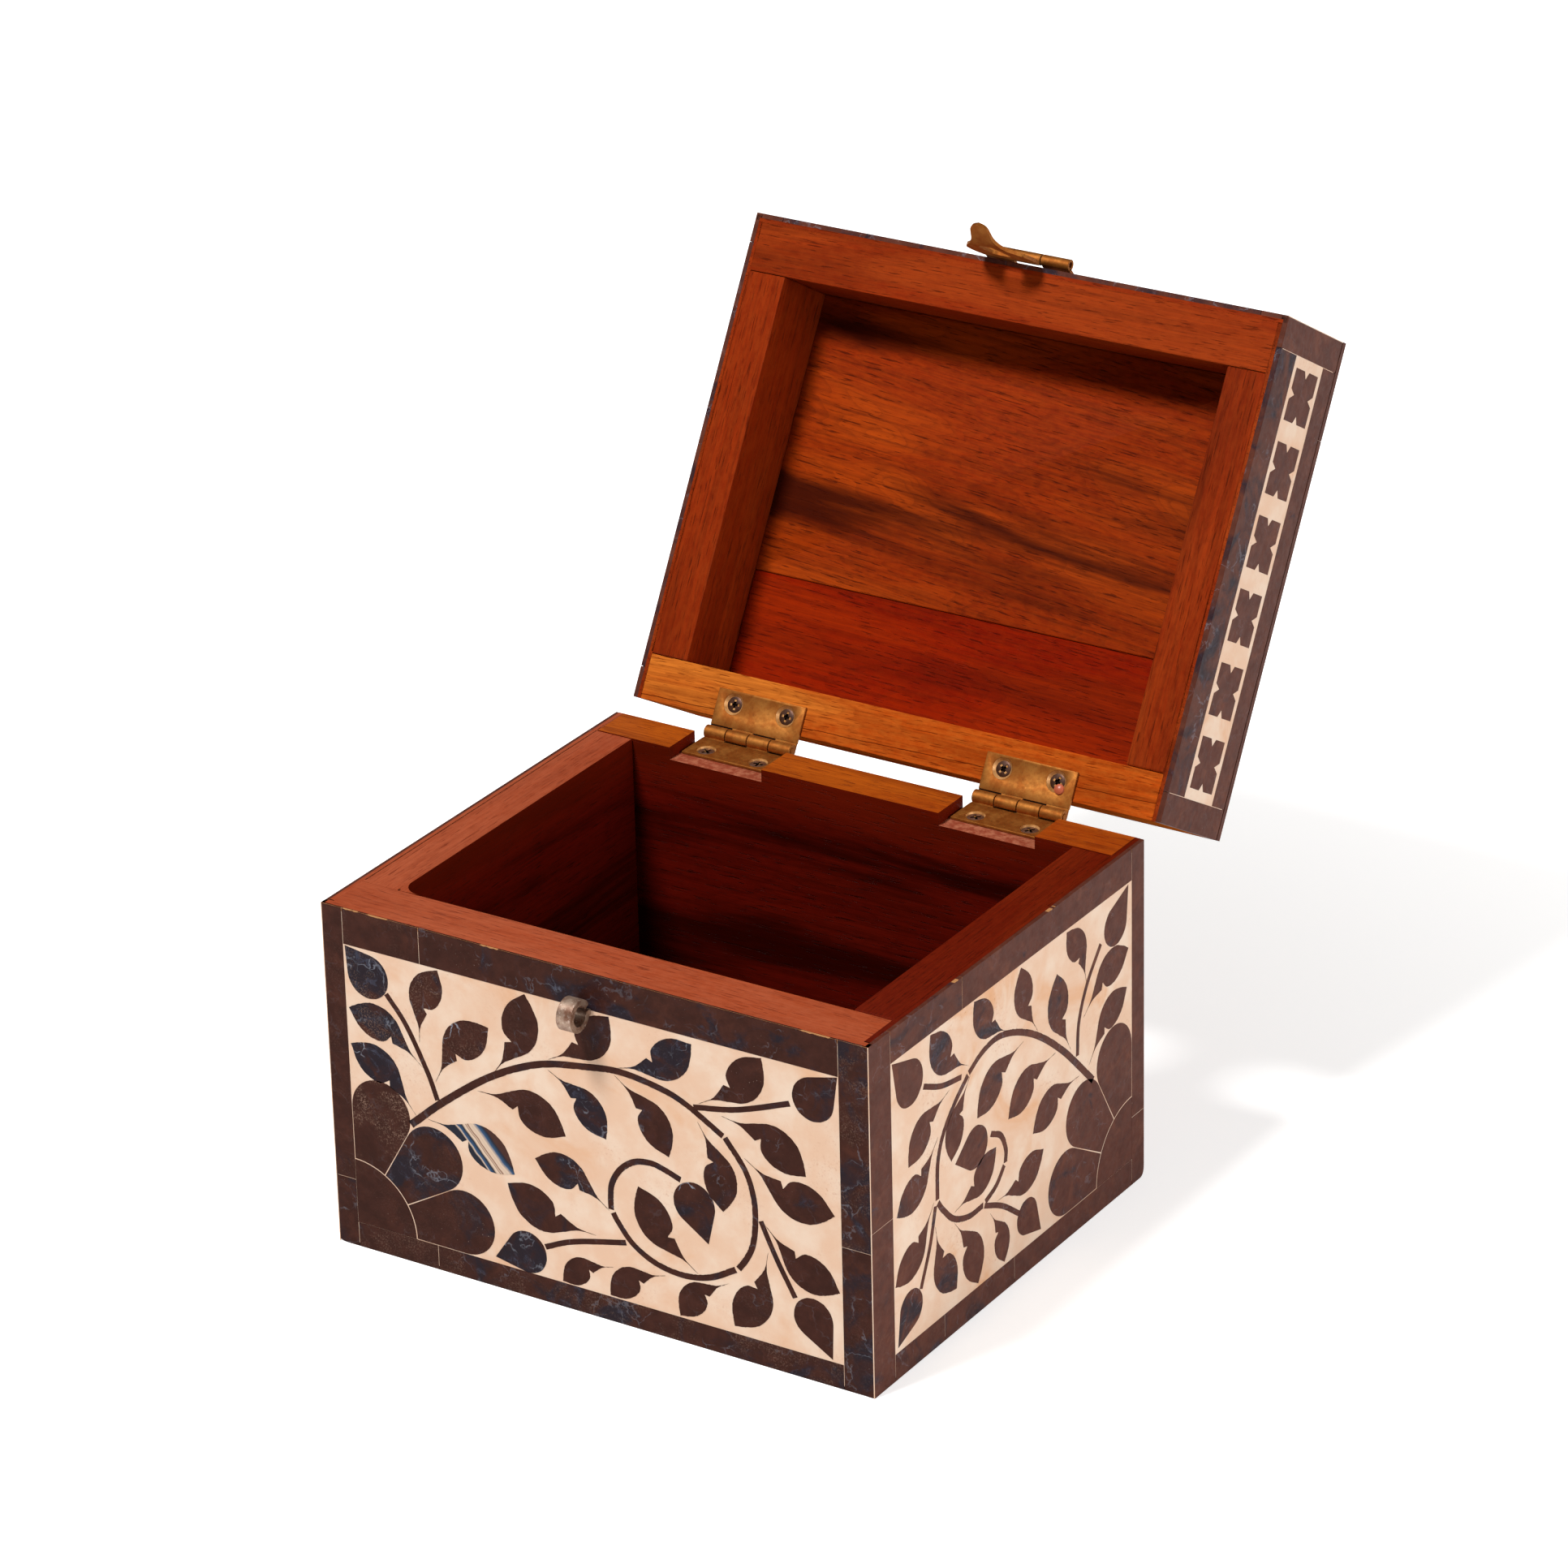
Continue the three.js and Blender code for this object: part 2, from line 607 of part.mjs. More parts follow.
// A rolled strip: a round eye on the front and a flat leg let into the wall
function catchStaple() {
  const eye = point(-halfDepth - stapleStandoff, stapleHeight);
  const leg = stapleLegThickness / 2;
  const root = eye.x + (stapleRadius + stapleBore) / 2;
  const outline = [
    point(root, eye.y - leg),
    point(-halfDepth + stapleLegLength, eye.y - leg),
    point(-halfDepth + stapleLegLength, eye.y + leg),
    point(root, eye.y + leg),
  ];
  const span = [catchX - stapleWidth / 2, catchX + stapleWidth / 2];
  const ring = prismAlongX(circle(eye, stapleRadius, barrelSides), ...span);
  const bore = prismAlongX(circle(eye, stapleBore, barrelSides), span[0] - cutOverrun, span[1] + cutOverrun);
  return named('catch_staple', ring.add(prismAlongX(outline, ...span)).subtract(bore), paint.steel);
}

function knuckles(centre, first) {
  const pitch = hingeLength / knuckleCount;
  const start = centre - hingeLength / 2;
  const spans = [];
  for (let i = first; i < knuckleCount; i += 2) {
    spans.push([start + pitch * i + knuckleGap / 2, start + pitch * (i + 1) - knuckleGap / 2]);
  }
  return spans;
}

// One leaf, its own knuckles and two countersunk holes; side is -1 under the barrel and 1 above it
function hingeLeaf(centre, side) {
  const face = side * barrelRadius;
  const inner = face - side * leafThickness;
  const plateZ = [hingeZ + Math.min(face, inner), hingeZ + Math.max(face, inner)];
  const plateEnd = hingeY - barrelRadius - leafRelief;
  const long = [centre - hingeLength / 2, centre + hingeLength / 2];
  const axis = point(hingeY, hingeZ);
  const spans = knuckles(centre, side < 0 ? 0 : 1);
  const plate = block(long, [hingeY - leafReach, plateEnd], plateZ);
  const tabs = spans.map((span) => block(span, [plateEnd - leafRelief, hingeY], plateZ));
  const rolls = spans.map((span) => prismAlongX(circle(axis, barrelRadius, barrelSides), ...span));
  const bore = prismAlongX(circle(axis, barrelBore, barrelSides), long[0] - cutOverrun, long[1] + cutOverrun);
  const holes = Object.values(screwOffsets).map((offset) => {
    const seat = screwBlank(glueLine);
    return placeScrew(seat, centre + offset, side);
  });
  return cut(join([plate, ...tabs, ...rolls]), [bore, ...holes]);
}

// A countersunk screw, or its seat when grown, with its head's face at zero and its point up
function screwBlank(grown) {
  const rim = grown > 0 ? [point(screwHeadRadius + grown, -grown)] : [];
  const profile = [
    point(0, -grown),
    ...rim,
    point(screwHeadRadius + grown, 0),
    point(screwShankRadius + grown, screwHeadDepth),
    point(screwShankRadius + grown, screwLength - screwShankRadius + grown),
    point(0, screwLength + grown),
  ];
  const geometry = new THREE.LatheGeometry(profile, screwSides);
  geometry.rotateX(Math.PI / 2);
  return solid(geometry);
}

function crossRecess() {
  const long = screwCrossLength / 2;
  const thin = screwCrossWidth / 2;
  const depth = [-cutOverrun, screwCrossDepth];
  return block([-long, long], [-thin, thin], depth).add(block([-thin, thin], [-long, long], depth));
}

// side is -1 for a screw driven down into the base and 1 for one driven up into the lid
function placeScrew(screw, x, side) {
  const faceZ = hingeZ + side * (barrelRadius - leafThickness);
  const turned = side < 0 ? screw.rotate([180, 0, 0]) : screw;
  return turned.translate([x, screwY, faceZ]);
}

function screws(side, owner) {
  return screwPlaces().map(({ name, x }) => {
    const screw = screwBlank(0).subtract(crossRecess());
    return named(`${name}_${owner}_screw`, placeScrew(screw, x, side), paint.screw);
  });
}

function hingePin(centre) {
  const half = hingeLength / 2;
  return prismAlongX(circle(point(hingeY, hingeZ), hingePinRadius, screwSides), centre - half, centre + half);
}

function baseHinges() {
  return Object.entries(hingeCentres).flatMap(([side, x]) => [
    named(`${side}_hinge_base_leaf`, hingeLeaf(x, -1), paint.brass),
    named(`${side}_hinge_pin`, hingePin(x), paint.brass),
  ]);
}

function lidHinges() {
  return Object.entries(hingeCentres).map(([side, x]) => (
    named(`${side}_hinge_lid_leaf`, hingeLeaf(x, 1), paint.brass)
  ));
}

function nailHoles(low, high) {
  return [-nailSpread, nailSpread].map((offset) => {
    const outline = circle(point(catchX + offset, -(haspPivotZ + nailRise)), nailRadius + glueLine, screwSides);
    return prism(outline, low, high, axisX, axisZ.clone().negate(), axisY);
  });
}

function lidCarcass() {
  const long = [-woodHalfWidth, woodHalfWidth];
  const tall = [lidBottom, lidWoodTop];
  const between = [innerFront + glueLine, innerBack - glueLine];
  const inside = [glueLine - innerHalfWidth, innerHalfWidth - glueLine];
  const thick = [lidBottom + lidRecess, lidWoodTop];
  const nailEnd = -halfDepth + nailLength;
  const front = cut(
    block(long, [woodFront, innerFront], tall),
    nailHoles(-halfDepth - cutOverrun, nailEnd + glueLine),
  );
  const screwTop = hingeZ + barrelRadius - leafThickness;
  const pilots = pilotHoles(lidBottom - cutOverrun, screwTop + screwLength + glueLine);
  const back = cut(block(long, [innerBack, halfDepth], tall), pilots);
  return [
    named('lid_front_rail', front, paint.wood),
    named('lid_back_rail', back, paint.paleWood),
    named('lid_left_rail', block([-woodHalfWidth, -innerHalfWidth], between, tall), paint.wood),
    named('lid_right_rail', block([innerHalfWidth, woodHalfWidth], between, tall), paint.wood),
    named('lid_front_board', block(inside, [between[0], panelSeam - glueLine / 2], thick), paint.panelWood),
    named('lid_back_board', block(inside, [panelSeam + glueLine / 2, between[1]], thick), paint.panelWood),
  ];
}

function lidFaces() {
  const height = lidHeight - skin - glueLine;
  const border = { ...lidBorder, top: lidBorder.top - skin - glueLine };
  const long = {
    width: boxWidth, height, border, tiles: frontTileShares,
    holes: (panel) => crossHoles(panel, frontCrosses),
  };
  const side = {
    width: boxDepth, height, border, tiles: sideTileShares,
    holes: (panel) => crossHoles(panel, sideCrosses),
  };
  const top = {
    name: 'lid_top', width: boxWidth, height: boxDepth, border: topBorder, tiles: sideTileShares,
    trimLeft: 0, trimRight: 0, holes: (panel) => floralHoles(panel, sidePattern, topSheet),
  };
  const nailCuts = [-nailSpread, nailSpread].map((offset) => (
    upright(nailRadius + glueLine, halfWidth + catchX + offset, haspPivotRise + nailRise, -cutOverrun, skin + cutOverrun)
  ));
  const crown = veneeredFace(top);
  crown.position.set(-halfWidth, -halfDepth, lidWoodTop);
  return [
    crown,
    standFace({ ...long, name: 'lid_front', cuts: nailCuts }, [-halfWidth, woodFront, lidBottom], 0),
    standFace({ ...side, name: 'lid_right' }, [woodHalfWidth, -halfDepth, lidBottom], 1),
    standFace({ ...side, name: 'lid_left' }, [-woodHalfWidth, halfDepth, lidBottom], -1),
  ];
}

// Seen from the side about the hasp's pivot: y is away from the lid's face when negative
function haspEye(spans) {
  const rolls = spans.map((span) => prismAlongX(circle(point(0, 0), haspBarrelRadius, barrelSides), ...span));
  return join(rolls);
}

function haspBoreHole() {
  const half = haspBarrelHalf + cutOverrun;
  return prismAlongX(circle(point(0, 0), haspBore, barrelSides), -half, half);
}

function haspMiddleLine() {
  const lower = haspPivotStandoff - haspFaceGap - haspSheet / 2;
  const root = haspBarrelRadius - haspSheet / 2;
  const lip = haspPivotZ - stapleHeight + haspSlotHalfLength;
  return [
    point(root, 0),
    point((root + lower) / 2, -haspPivotRise / 2),
    point(lower, -haspPivotRise),
    point(lower, -(haspPivotRise + lip) / 2),
    point(lower, -lip),
    point(lower - haspLipRise * haspLipBendShare, -(lip + haspReach) / 2),
    point(lower - haspLipRise, -haspReach),
  ];
}

// The slot that passes over the staple, its corners cut off
function haspSlot() {
  const middle = haspPivotZ - stapleHeight;
  const x = haspSlotHalfWidth - haspSlotCorner;
  const y = haspSlotHalfLength - haspSlotCorner;
  const right = [
    point(x, middle - haspSlotHalfLength),
    point(haspSlotHalfWidth, middle - y),
    point(haspSlotHalfWidth, middle + y),
    point(x, middle + haspSlotHalfLength),
  ];
  return [...right, ...[...right].reverse().map((p) => point(-p.x, p.y))];
}

function haspLeaf() {
  const sheet = prismAlongX(ribbon(haspMiddleLine(), haspSheet, sheetSteps), -haspHalfWidth, haspHalfWidth);
  const neck = [point(haspKnuckleHalf, -haspBarrelRadius), point(haspKnuckleHalf, haspBarrelRadius)];
  const right = [...neck, ...haspOutlineShares.map(([down, out]) => point(out * haspHalfWidth, down * haspReach))];
  const left = [...right].reverse().map((p) => point(-p.x, p.y));
  const deep = haspPivotStandoff + haspLipRise;
  const through = (outline) => prism(outline, -deep, deep, axisX, axisZ.clone().negate(), axisY);
  const leaf = sheet.intersect(through(sorted([...right, ...left])));
  const whole = leaf.add(haspEye([[-haspKnuckleHalf, haspKnuckleHalf]]));
  return named('hasp_leaf', cut(whole, [haspBoreHole(), through(haspSlot())]), paint.brass);
}

function haspBracket() {
  const side = haspBarrelHalf;
  const inner = haspKnuckle / 2 + knuckleGap / 2;
  const foot = haspPivotStandoff - glueLine - haspSheet / 2;
  const root = haspBarrelRadius - haspSheet / 2;
  const middle = [
    point(root, 0),
    point((root + foot) / 2, bracketFoot / 2),
    point(foot, bracketFoot),
    point(foot, bracketRise),
  ];
  const sheet = prismAlongX(ribbon(middle, haspSheet, petalSteps), -side, side);
  const clear = haspBarrelRadius + leafRelief;
  const relief = block([-inner, inner], [-haspPivotStandoff, haspPivotStandoff], [-clear, clear]);
  const rolls = haspEye([[-side, -inner], [inner, side]]);
  const holes = nailHoles(-halfDepth - cutOverrun, halfDepth).map((hole) => (
    hole.translate([-catchX, -haspPivotY, -haspPivotZ])
  ));
  const bracket = cut(sheet.subtract(relief).add(rolls), [haspBoreHole(), ...holes]);
  return named('hasp_bracket', bracket, paint.brass);
}

function haspPin() {
  const outline = circle(point(0, 0), haspPinRadius, screwSides);
  return named('hasp_pin', prismAlongX(outline, -haspBarrelHalf, haspBarrelHalf), paint.brass);
}

function haspNail(side, offset) {
  const plateFace = haspPivotStandoff - 2 * glueLine - haspSheet;
  const profile = [
    point(0, 0),
    point(nailHeadRadius / 2, nailHeadHeight * nailCrownShare),
    point(nailHeadRadius, nailHeadHeight),
    point(nailRadius, nailHeadHeight),
    point(nailRadius, nailHeadHeight + nailLength - nailRadius - haspSheet - skin),
    point(0, nailHeadHeight + nailLength - haspSheet - skin),
  ];
  const geometry = new THREE.LatheGeometry(profile, screwSides);
  geometry.translate(offset, plateFace - nailHeadHeight, nailRise);
  return named(`hasp_${side}_nail`, solid(geometry), paint.brass);
}

function catchOnLid() {
  const group = new THREE.Group();
  group.position.set(catchX, haspPivotY, haspPivotZ);
  const nails = [haspNail('left', -nailSpread), haspNail('right', nailSpread)];
  group.add(haspBracket(), haspPin(), haspLeaf(), ...nails);
  return group;
}

function openLid() {
  const swing = new THREE.Group();
  swing.position.set(0, hingeY, hingeZ);
  swing.rotation.x = -lidOpenAngle;
  const closed = new THREE.Group();
  closed.position.set(0, -hingeY, -hingeZ);
  closed.add(...lidCarcass(), ...lidFaces(), ...lidHinges(), ...screws(1, 'lid'), catchOnLid());
  swing.add(closed);
  return swing;
}

const box = new THREE.Group();
box.add(...baseCarcass(), ...baseFaces(), catchStaple(), ...baseHinges(), ...screws(-1, 'base'), openLid());

export default box;
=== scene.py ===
import math
import random

import bmesh
import bpy
from mathutils import Matrix, Vector


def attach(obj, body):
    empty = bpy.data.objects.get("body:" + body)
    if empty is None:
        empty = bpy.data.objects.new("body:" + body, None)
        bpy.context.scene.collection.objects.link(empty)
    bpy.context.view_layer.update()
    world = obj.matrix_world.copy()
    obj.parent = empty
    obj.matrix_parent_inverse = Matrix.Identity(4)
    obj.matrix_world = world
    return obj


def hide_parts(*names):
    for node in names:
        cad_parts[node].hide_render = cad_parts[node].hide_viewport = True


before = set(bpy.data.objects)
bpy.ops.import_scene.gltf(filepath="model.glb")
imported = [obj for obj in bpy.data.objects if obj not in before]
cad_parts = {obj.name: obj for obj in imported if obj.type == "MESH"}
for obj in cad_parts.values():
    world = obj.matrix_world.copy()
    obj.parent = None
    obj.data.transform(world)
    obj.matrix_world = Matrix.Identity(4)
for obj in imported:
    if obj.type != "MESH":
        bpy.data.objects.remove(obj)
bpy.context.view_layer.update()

MM = 0.001
PER_MM = 1000.0
QUARTER = math.pi / 2

# The box
BOX_WIDTH = 152.0
BOX_DEPTH = 126.0
BASE_HEIGHT = 91.0
LID_HEIGHT = 34.5
LID_GAP = 0.3
LID_OPEN = math.radians(120)
SKIN = 2.0
GLUE_LINE = 0.1

# The inlay
BORDERS = {
    "front": {"left": 6.0, "right": 8.2, "bottom": 6.7, "top": 9.6},
    "side": {"left": 9.4, "right": 6.0, "bottom": 7.1, "top": 8.4},
    "lid_top": {"left": 8.2, "right": 8.2, "bottom": 8.2, "top": 8.2},
    "lid": {"left": 8.0, "right": 7.6, "bottom": 9.4, "top": 7.2},
}
TILE_JOINT = 0.15
TILE_DEPTH = 0.5
GROUND_DROP = 0.05
EDGE_MARGIN = 0.35
EDGE_ROUND = 0.22
FRONT_CORNER_WEAR = (3.0, 0.9)
REAR_CORNER_WEAR = (2.0, 3.0)
RIM_LIPS = {"front": 1.6, "side": 1.0, "lid_front": 0.8, "lid_side": 0.7}
FRONT_WALL = 12.6
SIDE_WALL = 10.7
CORNER_FILLET = 5.0
JOINT_PROUD = 0.04
RIM_LIP_DEPTH = 0.2
RIM_LIP_PROUD = 0.05
WOBBLE = 0.05
CHIP_STEP = 0.6
CHIP_DEPTH = 0.26
CORNER_FILLER = 0.11
DISC_RADIUS = 17.3
PETAL_REACH = 33.0
PETAL_RADIUS = 8.6
PETAL_JOINT = 0.3
VINE_WIDTH = 1.95
VINE_END_WIDTH = 1.6
RING_WIDTH = 1.6
STEM_WIDTH = 1.45
SAW_NICK = 0.12
CROSS_LENGTH = 13.0
CROSS_HEIGHT = 12.6
CROSS_END_NOTCH = 1.9
CROSS_SIDE_NOTCH = 2.3
CROSS_NOTCH_HALF = 1.3
SIDE_CROSSES = 6
FRONT_CROSSES = 8
TILE_SHARES = {
    "front": {"top": [0.16], "bottom": [0.17], "left": [0.155], "right": [0.416]},
    "side": {"top": [0.287], "bottom": [0.2, 0.49], "left": [0.475], "right": [0.152]},
    "lid_side": {"top": [], "bottom": [], "left": [], "right": []},
}

# The hinges
HINGE_LENGTH = 25.4
HINGE_CENTRES = {"left": -38.9, "right": 38.9}
HINGE_STANDOFF = 4.14
LEAF_REACH = 11.4
LEAF_THICKNESS = 0.7
LEAF_RELIEF = {"base": 0.08, "lid": 0.35}
SEAT_FOOT = 2.1
SEAT_DROP = 0.03
BAR_CLEARANCE = 0.05
BAR_SHARE = 0.9
BARREL_RADIUS = 1.7
HINGE_PIN_RADIUS = 0.85
KNUCKLES = 4
KNUCKLE_GAP = 0.25
SCREW_REACH = 8.0
SCREW_SPREAD = 7.62
SCREW_HEAD = 2.1
SEAT_RADIUS = {"base": 2.45, "lid": 2.7}
SCREW_SINK = {"base": 0.35, "lid": 0.6}
SCREW_LENGTH = 6.5
SCREW_SHANK = 0.85
RECESS_LONG = 1.35
RECESS_THIN = 0.32
RECESS_DEEP = 0.55
SCREW_FACE_SHARE = 0.9
SCREW_RIM = 0.12
SCREW_CONE = 1.0
RECESS_REACH_SHARE = 1.2
GLUE_DROP_PLACE = (8.9, -6.3)
GLUE_DROP = [(0, -0.3), (1.1, -0.3), (1.35, 0), (1.25, 0.4), (0.8, 0.75), (0, 0.9)]

# The catch
CATCH_X = -1.5
STAPLE_DROP = 9.2
STAPLE_WIDTH = 4.0
STAPLE_RADIUS = 4.05
STAPLE_STRIP = 1.5
STAPLE_STANDOFF = 4.4
STAPLE_LEG = 7.0
STAPLE_CURL = (-12, -350, -13)
HASP_PIVOT_RISE = 8.0
HASP_PIVOT_STANDOFF = 2.8
HASP_BARREL = 1.45
HASP_BORE = 0.75
HASP_KNUCKLE = 8.0
HASP_SHEET = 0.9
HASP_REACH = 29.3
HASP_HALF_WIDTH = 8.5
HASP_SLOT_HALF_WIDTH = 2.7
HASP_SLOT_HALF_LENGTH = 4.8
HASP_SLOT_ROUND_SHARE = 0.6
HASP_FACE_GAP = 0.4
HASP_LIP_RISE = 4.2
HASP_LIP_LEAD = 1.0
HASP_LIP_BEND = 1.6
HASP_KNUCKLES = 3
HASP_PIN_SHARE = 0.9
HASP_PIN_INSET = 1.0
HASP_ROWS = 40
BRACKET_RISE = 10.5
BRACKET_FOOT = 3.5
NAIL_SPREAD = 8.0
NAIL_RISE = 6.6
NAIL_DOME = [(0, -1.5), (0.6, -1.5), (0.6, 0), (1.5, 0), (1.275, 0.35), (0.75, 0.6), (0, 0.7)]

# Fineness
ROUND_SIDES = 40
ARC_STEPS = 24
CURVE_STEPS = 8
BEVEL_SEGMENTS = 2
ROUND_ANGLE = math.radians(40)
SMOOTH_ANGLE = math.radians(35)
WELD_GAP = 0.01
SHEET_WELD_GAP = 0.001
WOOD_ROUND = 0.45
METAL_ROUND = 0.12

# Looks: how strong, how far and how deep
SEED_SPAN = 400
VINE_BLUE = 0.35
STEM_BLUE = 0.3
CROSS_BLUE = 0.12
LEAF_VEIN = 2.5
BUD_VEIN = 2.0
LID_GLOSS = 0.3
INNER_STREAKS = 0.85
AGATE_HEADING = math.radians(41)
AGATE_START = 53.0
AGATE_SPAN = 11.0
LIT_BAND = 16.0
BACK_RAIL_CRACK = 60.9
GRAIN_SLIDE = -32.0
TILE_BUMP = 0.05
CREAM_BUMP = 0.06
WOOD_BUMP = 0.06
METAL_BUMP = 0.01

# Light
KEY_PLACE = (-250, -640, 1330)
KEY_SIZE = 300
KEY_POWER = 22.0
SIDE_PLACE = (1400, -60, 380)
SIDE_SIZE = 1000
SIDE_POWER = 12.0
WORLD_LIGHT = 0.14
FLOOR_LIFT = 0.62
FADE_START = 130.0
FADE_END = 520.0
LAMP_AIM = (0, 20, 70)
WORLD_TINT = (1.0, 0.98, 0.96, 1)
WHITE = (1, 1, 1, 1)
FLOOR_HALF = 4000.0

# The camera, fitted to the photograph: place in millimetres, and its right, up and back directions
CAMERA_PLACE = (773.6, -1172.8, 762.2)
CAMERA_RIGHT = (0.844868, 0.534503, -0.022463)
CAMERA_UP = (-0.207003, 0.365343, 0.907565)
CAMERA_BACK = (0.493303, -0.762123, 0.41931)
CAMERA_LENS = 150.3
CAMERA_SENSOR = 36.0
CAMERA_REACH = 100000.0

LID_BOTTOM = BASE_HEIGHT + LID_GAP
LID_WOOD_TOP = LID_BOTTOM + LID_HEIGHT - SKIN
HINGE_Y = BOX_DEPTH / 2 + HINGE_STANDOFF
HINGE_Z = LID_BOTTOM - GLUE_LINE - BARREL_RADIUS
HASP_PIVOT = Vector((CATCH_X, -BOX_DEPTH / 2 - HASP_PIVOT_STANDOFF, LID_BOTTOM + HASP_PIVOT_RISE))
STAPLE_HEIGHT = BASE_HEIGHT - STAPLE_DROP

# Leaf outline: share of its length along it, and across it towards its full side.
# The runs between sharp corners are drawn as smooth curves.
LEAF_RUN_SHARES = [
    [(0.0, 0.0), (0.18, 0.055), (0.33, 0.16), (0.47, 0.255), (0.63, 0.285), (0.8, 0.235), (0.92, 0.12),
     (1.0, 0.0)],
    [(1.0, 0.0), (0.81, -0.11), (0.64, -0.125), (0.5, -0.065), (0.447, 0.055)],
    [(0.447, 0.055), (0.4, -0.005)],
    [(0.4, -0.005), (0.2, 0.035), (0.0, 0.0)],
]

# Each leaf: stalk end across and up, tip across and up, side of its full edge, how blue, how rusty
FRONT_LEAF_SHARES = [
    (0.152, 0.72, 0.197, 0.995, 1, 0.35, 0.7), (0.182, 0.595, 0.298, 0.84, 1, 0.35, 0.3),
    (0.155, 0.635, 0.005, 0.778, -1, 0.9, 0.6), (0.137, 0.452, 0.005, 0.65, -1, 1.0, 0.2),
    (0.303, 0.68, 0.376, 0.995, -1, 0.3, 0.1), (0.42, 0.787, 0.547, 0.995, -1, 0.2, 0.1),
    (0.418, 0.75, 0.533, 0.56, 1, 0.85, 0.0), (0.27, 0.605, 0.45, 0.53, 1, 0.1, 0.1),
    (0.162, 0.452, 0.34, 0.34, 1, 1.0, 0.0), (0.555, 0.795, 0.66, 0.56, 1, 0.45, 0.0),
    (0.56, 0.823, 0.712, 0.977, -1, 1.0, 0.1), (0.724, 0.778, 0.85, 0.995, -1, 0.15, 0.0),
    (0.768, 0.756, 0.933, 0.625, 1, 0.3, 0.0), (0.812, 0.63, 0.988, 0.515, -1, 0.15, 0.0),
    (0.848, 0.418, 0.995, 0.25, -1, 0.15, 0.0), (0.854, 0.32, 0.783, 0.025, 1, 0.35, 0.1),
    (0.773, 0.17, 0.673, 0.005, -1, 0.1, 0.0), (0.645, 0.133, 0.53, 0.005, -1, 0.1, 0.0),
    (0.538, 0.108, 0.432, 0.005, -1, 0.1, 0.0), (0.505, 0.205, 0.324, 0.303, 1, 0.4, 0.0),
    (0.535, 0.308, 0.384, 0.42, -1, 0.8, 0.2), (0.712, 0.173, 0.595, 0.425, 1, 0.1, 0.0),
    (0.72, 0.713, 0.766, 0.42, 1, 0.5, 0.0),
]
AGATE_LEAF = 8
STREAKED_LEAVES = [1, 3]
SIDE_LEAF_SHARES = [
    (0.313, 0.79, 0.158, 0.995, 1, 0.5, 0.1), (0.475, 0.803, 0.335, 0.995, 1, 0.4, 0.1),
    (0.595, 0.728, 0.528, 0.99, 1, 0.15, 0.0), (0.735, 0.57, 0.678, 0.873, 1, 0.5, 0.0),
    (0.804, 0.76, 0.72, 0.99, -1, 0.15, 0.0), (0.79, 0.648, 0.985, 0.772, 1, 0.1, 0.0),
    (0.813, 0.465, 0.978, 0.637, 1, 0.1, 0.0), (0.23, 0.76, 0.064, 0.605, -1, 0.15, 0.0),
    (0.182, 0.63, 0.015, 0.465, 1, 0.35, 0.0), (0.163, 0.417, 0.005, 0.23, 1, 0.1, 0.1),
    (0.167, 0.33, 0.25, 0.055, -1, 0.45, 0.0), (0.243, 0.29, 0.338, 0.01, 1, 0.2, 0.0),
    (0.39, 0.223, 0.448, 0.01, 1, 0.15, 0.0), (0.42, 0.245, 0.616, 0.297, -1, 0.3, 0.1),
    (0.245, 0.325, 0.418, 0.438, -1, 0.15, 0.0), (0.315, 0.755, 0.235, 0.51, -1, 0.2, 0.0),
    (0.536, 0.73, 0.342, 0.588, -1, 0.25, 0.1), (0.67, 0.602, 0.47, 0.5, -1, 0.15, 0.0),
    (0.77, 0.455, 0.572, 0.38, -1, 0.15, 0.0),
]

# Each bud: point across and up, round end across and up, its half width over its length, blue, rust
FRONT_BUD_SHARES = [
    (0.003, 0.997, 0.078, 0.85, 0.385, 0.85, 0.7), (0.998, 0.998, 0.923, 0.843, 0.36, 0.5, 0.0),
    (0.978, 0.007, 0.923, 0.195, 0.335, 0.15, 0.0), (0.292, 0.022, 0.397, 0.1, 0.355, 0.8, 0.0),
    (0.735, 0.29, 0.693, 0.488, 0.36, 0.6, 0.0),
]
VEINED_BUD = 4
SIDE_BUD_SHARES = [
    (0.005, 0.995, 0.11, 0.83, 0.345, 0.15, 0.0), (0.985, 0.995, 0.9, 0.83, 0.345, 0.3, 0.0),
    (0.012, 0.015, 0.095, 0.165, 0.345, 0.5, 0.0), (0.603, 0.02, 0.515, 0.15, 0.34, 0.15, 0.1),
    (0.25, 0.49, 0.383, 0.495, 0.375, 0.2, 0.0),
]

# Middle lines of the vines and stems, as shares of the panel
FRONT_VINE_SHARES = [
    [(0.125, 0.415), (0.2, 0.535), (0.3, 0.67), (0.4, 0.76), (0.5, 0.798), (0.57, 0.812), (0.65, 0.792),
     (0.7, 0.76),
     (0.77, 0.687)],
    [(0.774, 0.683), (0.812, 0.589), (0.828, 0.5), (0.83, 0.41), (0.824, 0.333), (0.811, 0.278),
     (0.794, 0.233)],
    [(0.788, 0.227), (0.737, 0.174), (0.682, 0.153), (0.625, 0.168), (0.58, 0.214), (0.551, 0.278),
     (0.542, 0.305)],
    [(0.538, 0.315), (0.538, 0.36), (0.542, 0.411), (0.56, 0.467), (0.589, 0.508), (0.622, 0.52),
     (0.649, 0.511),
     (0.682, 0.491)],
]
FRONT_STEM_SHARES = [
    [(0.184, 0.53), (0.165, 0.625), (0.125, 0.77), (0.086, 0.862)],
    [(0.713, 0.76), (0.8, 0.793), (0.904, 0.864)],
    [(0.398, 0.11), (0.46, 0.16), (0.566, 0.21)],
    [(0.841, 0.425), (0.87, 0.31), (0.906, 0.188)],
]
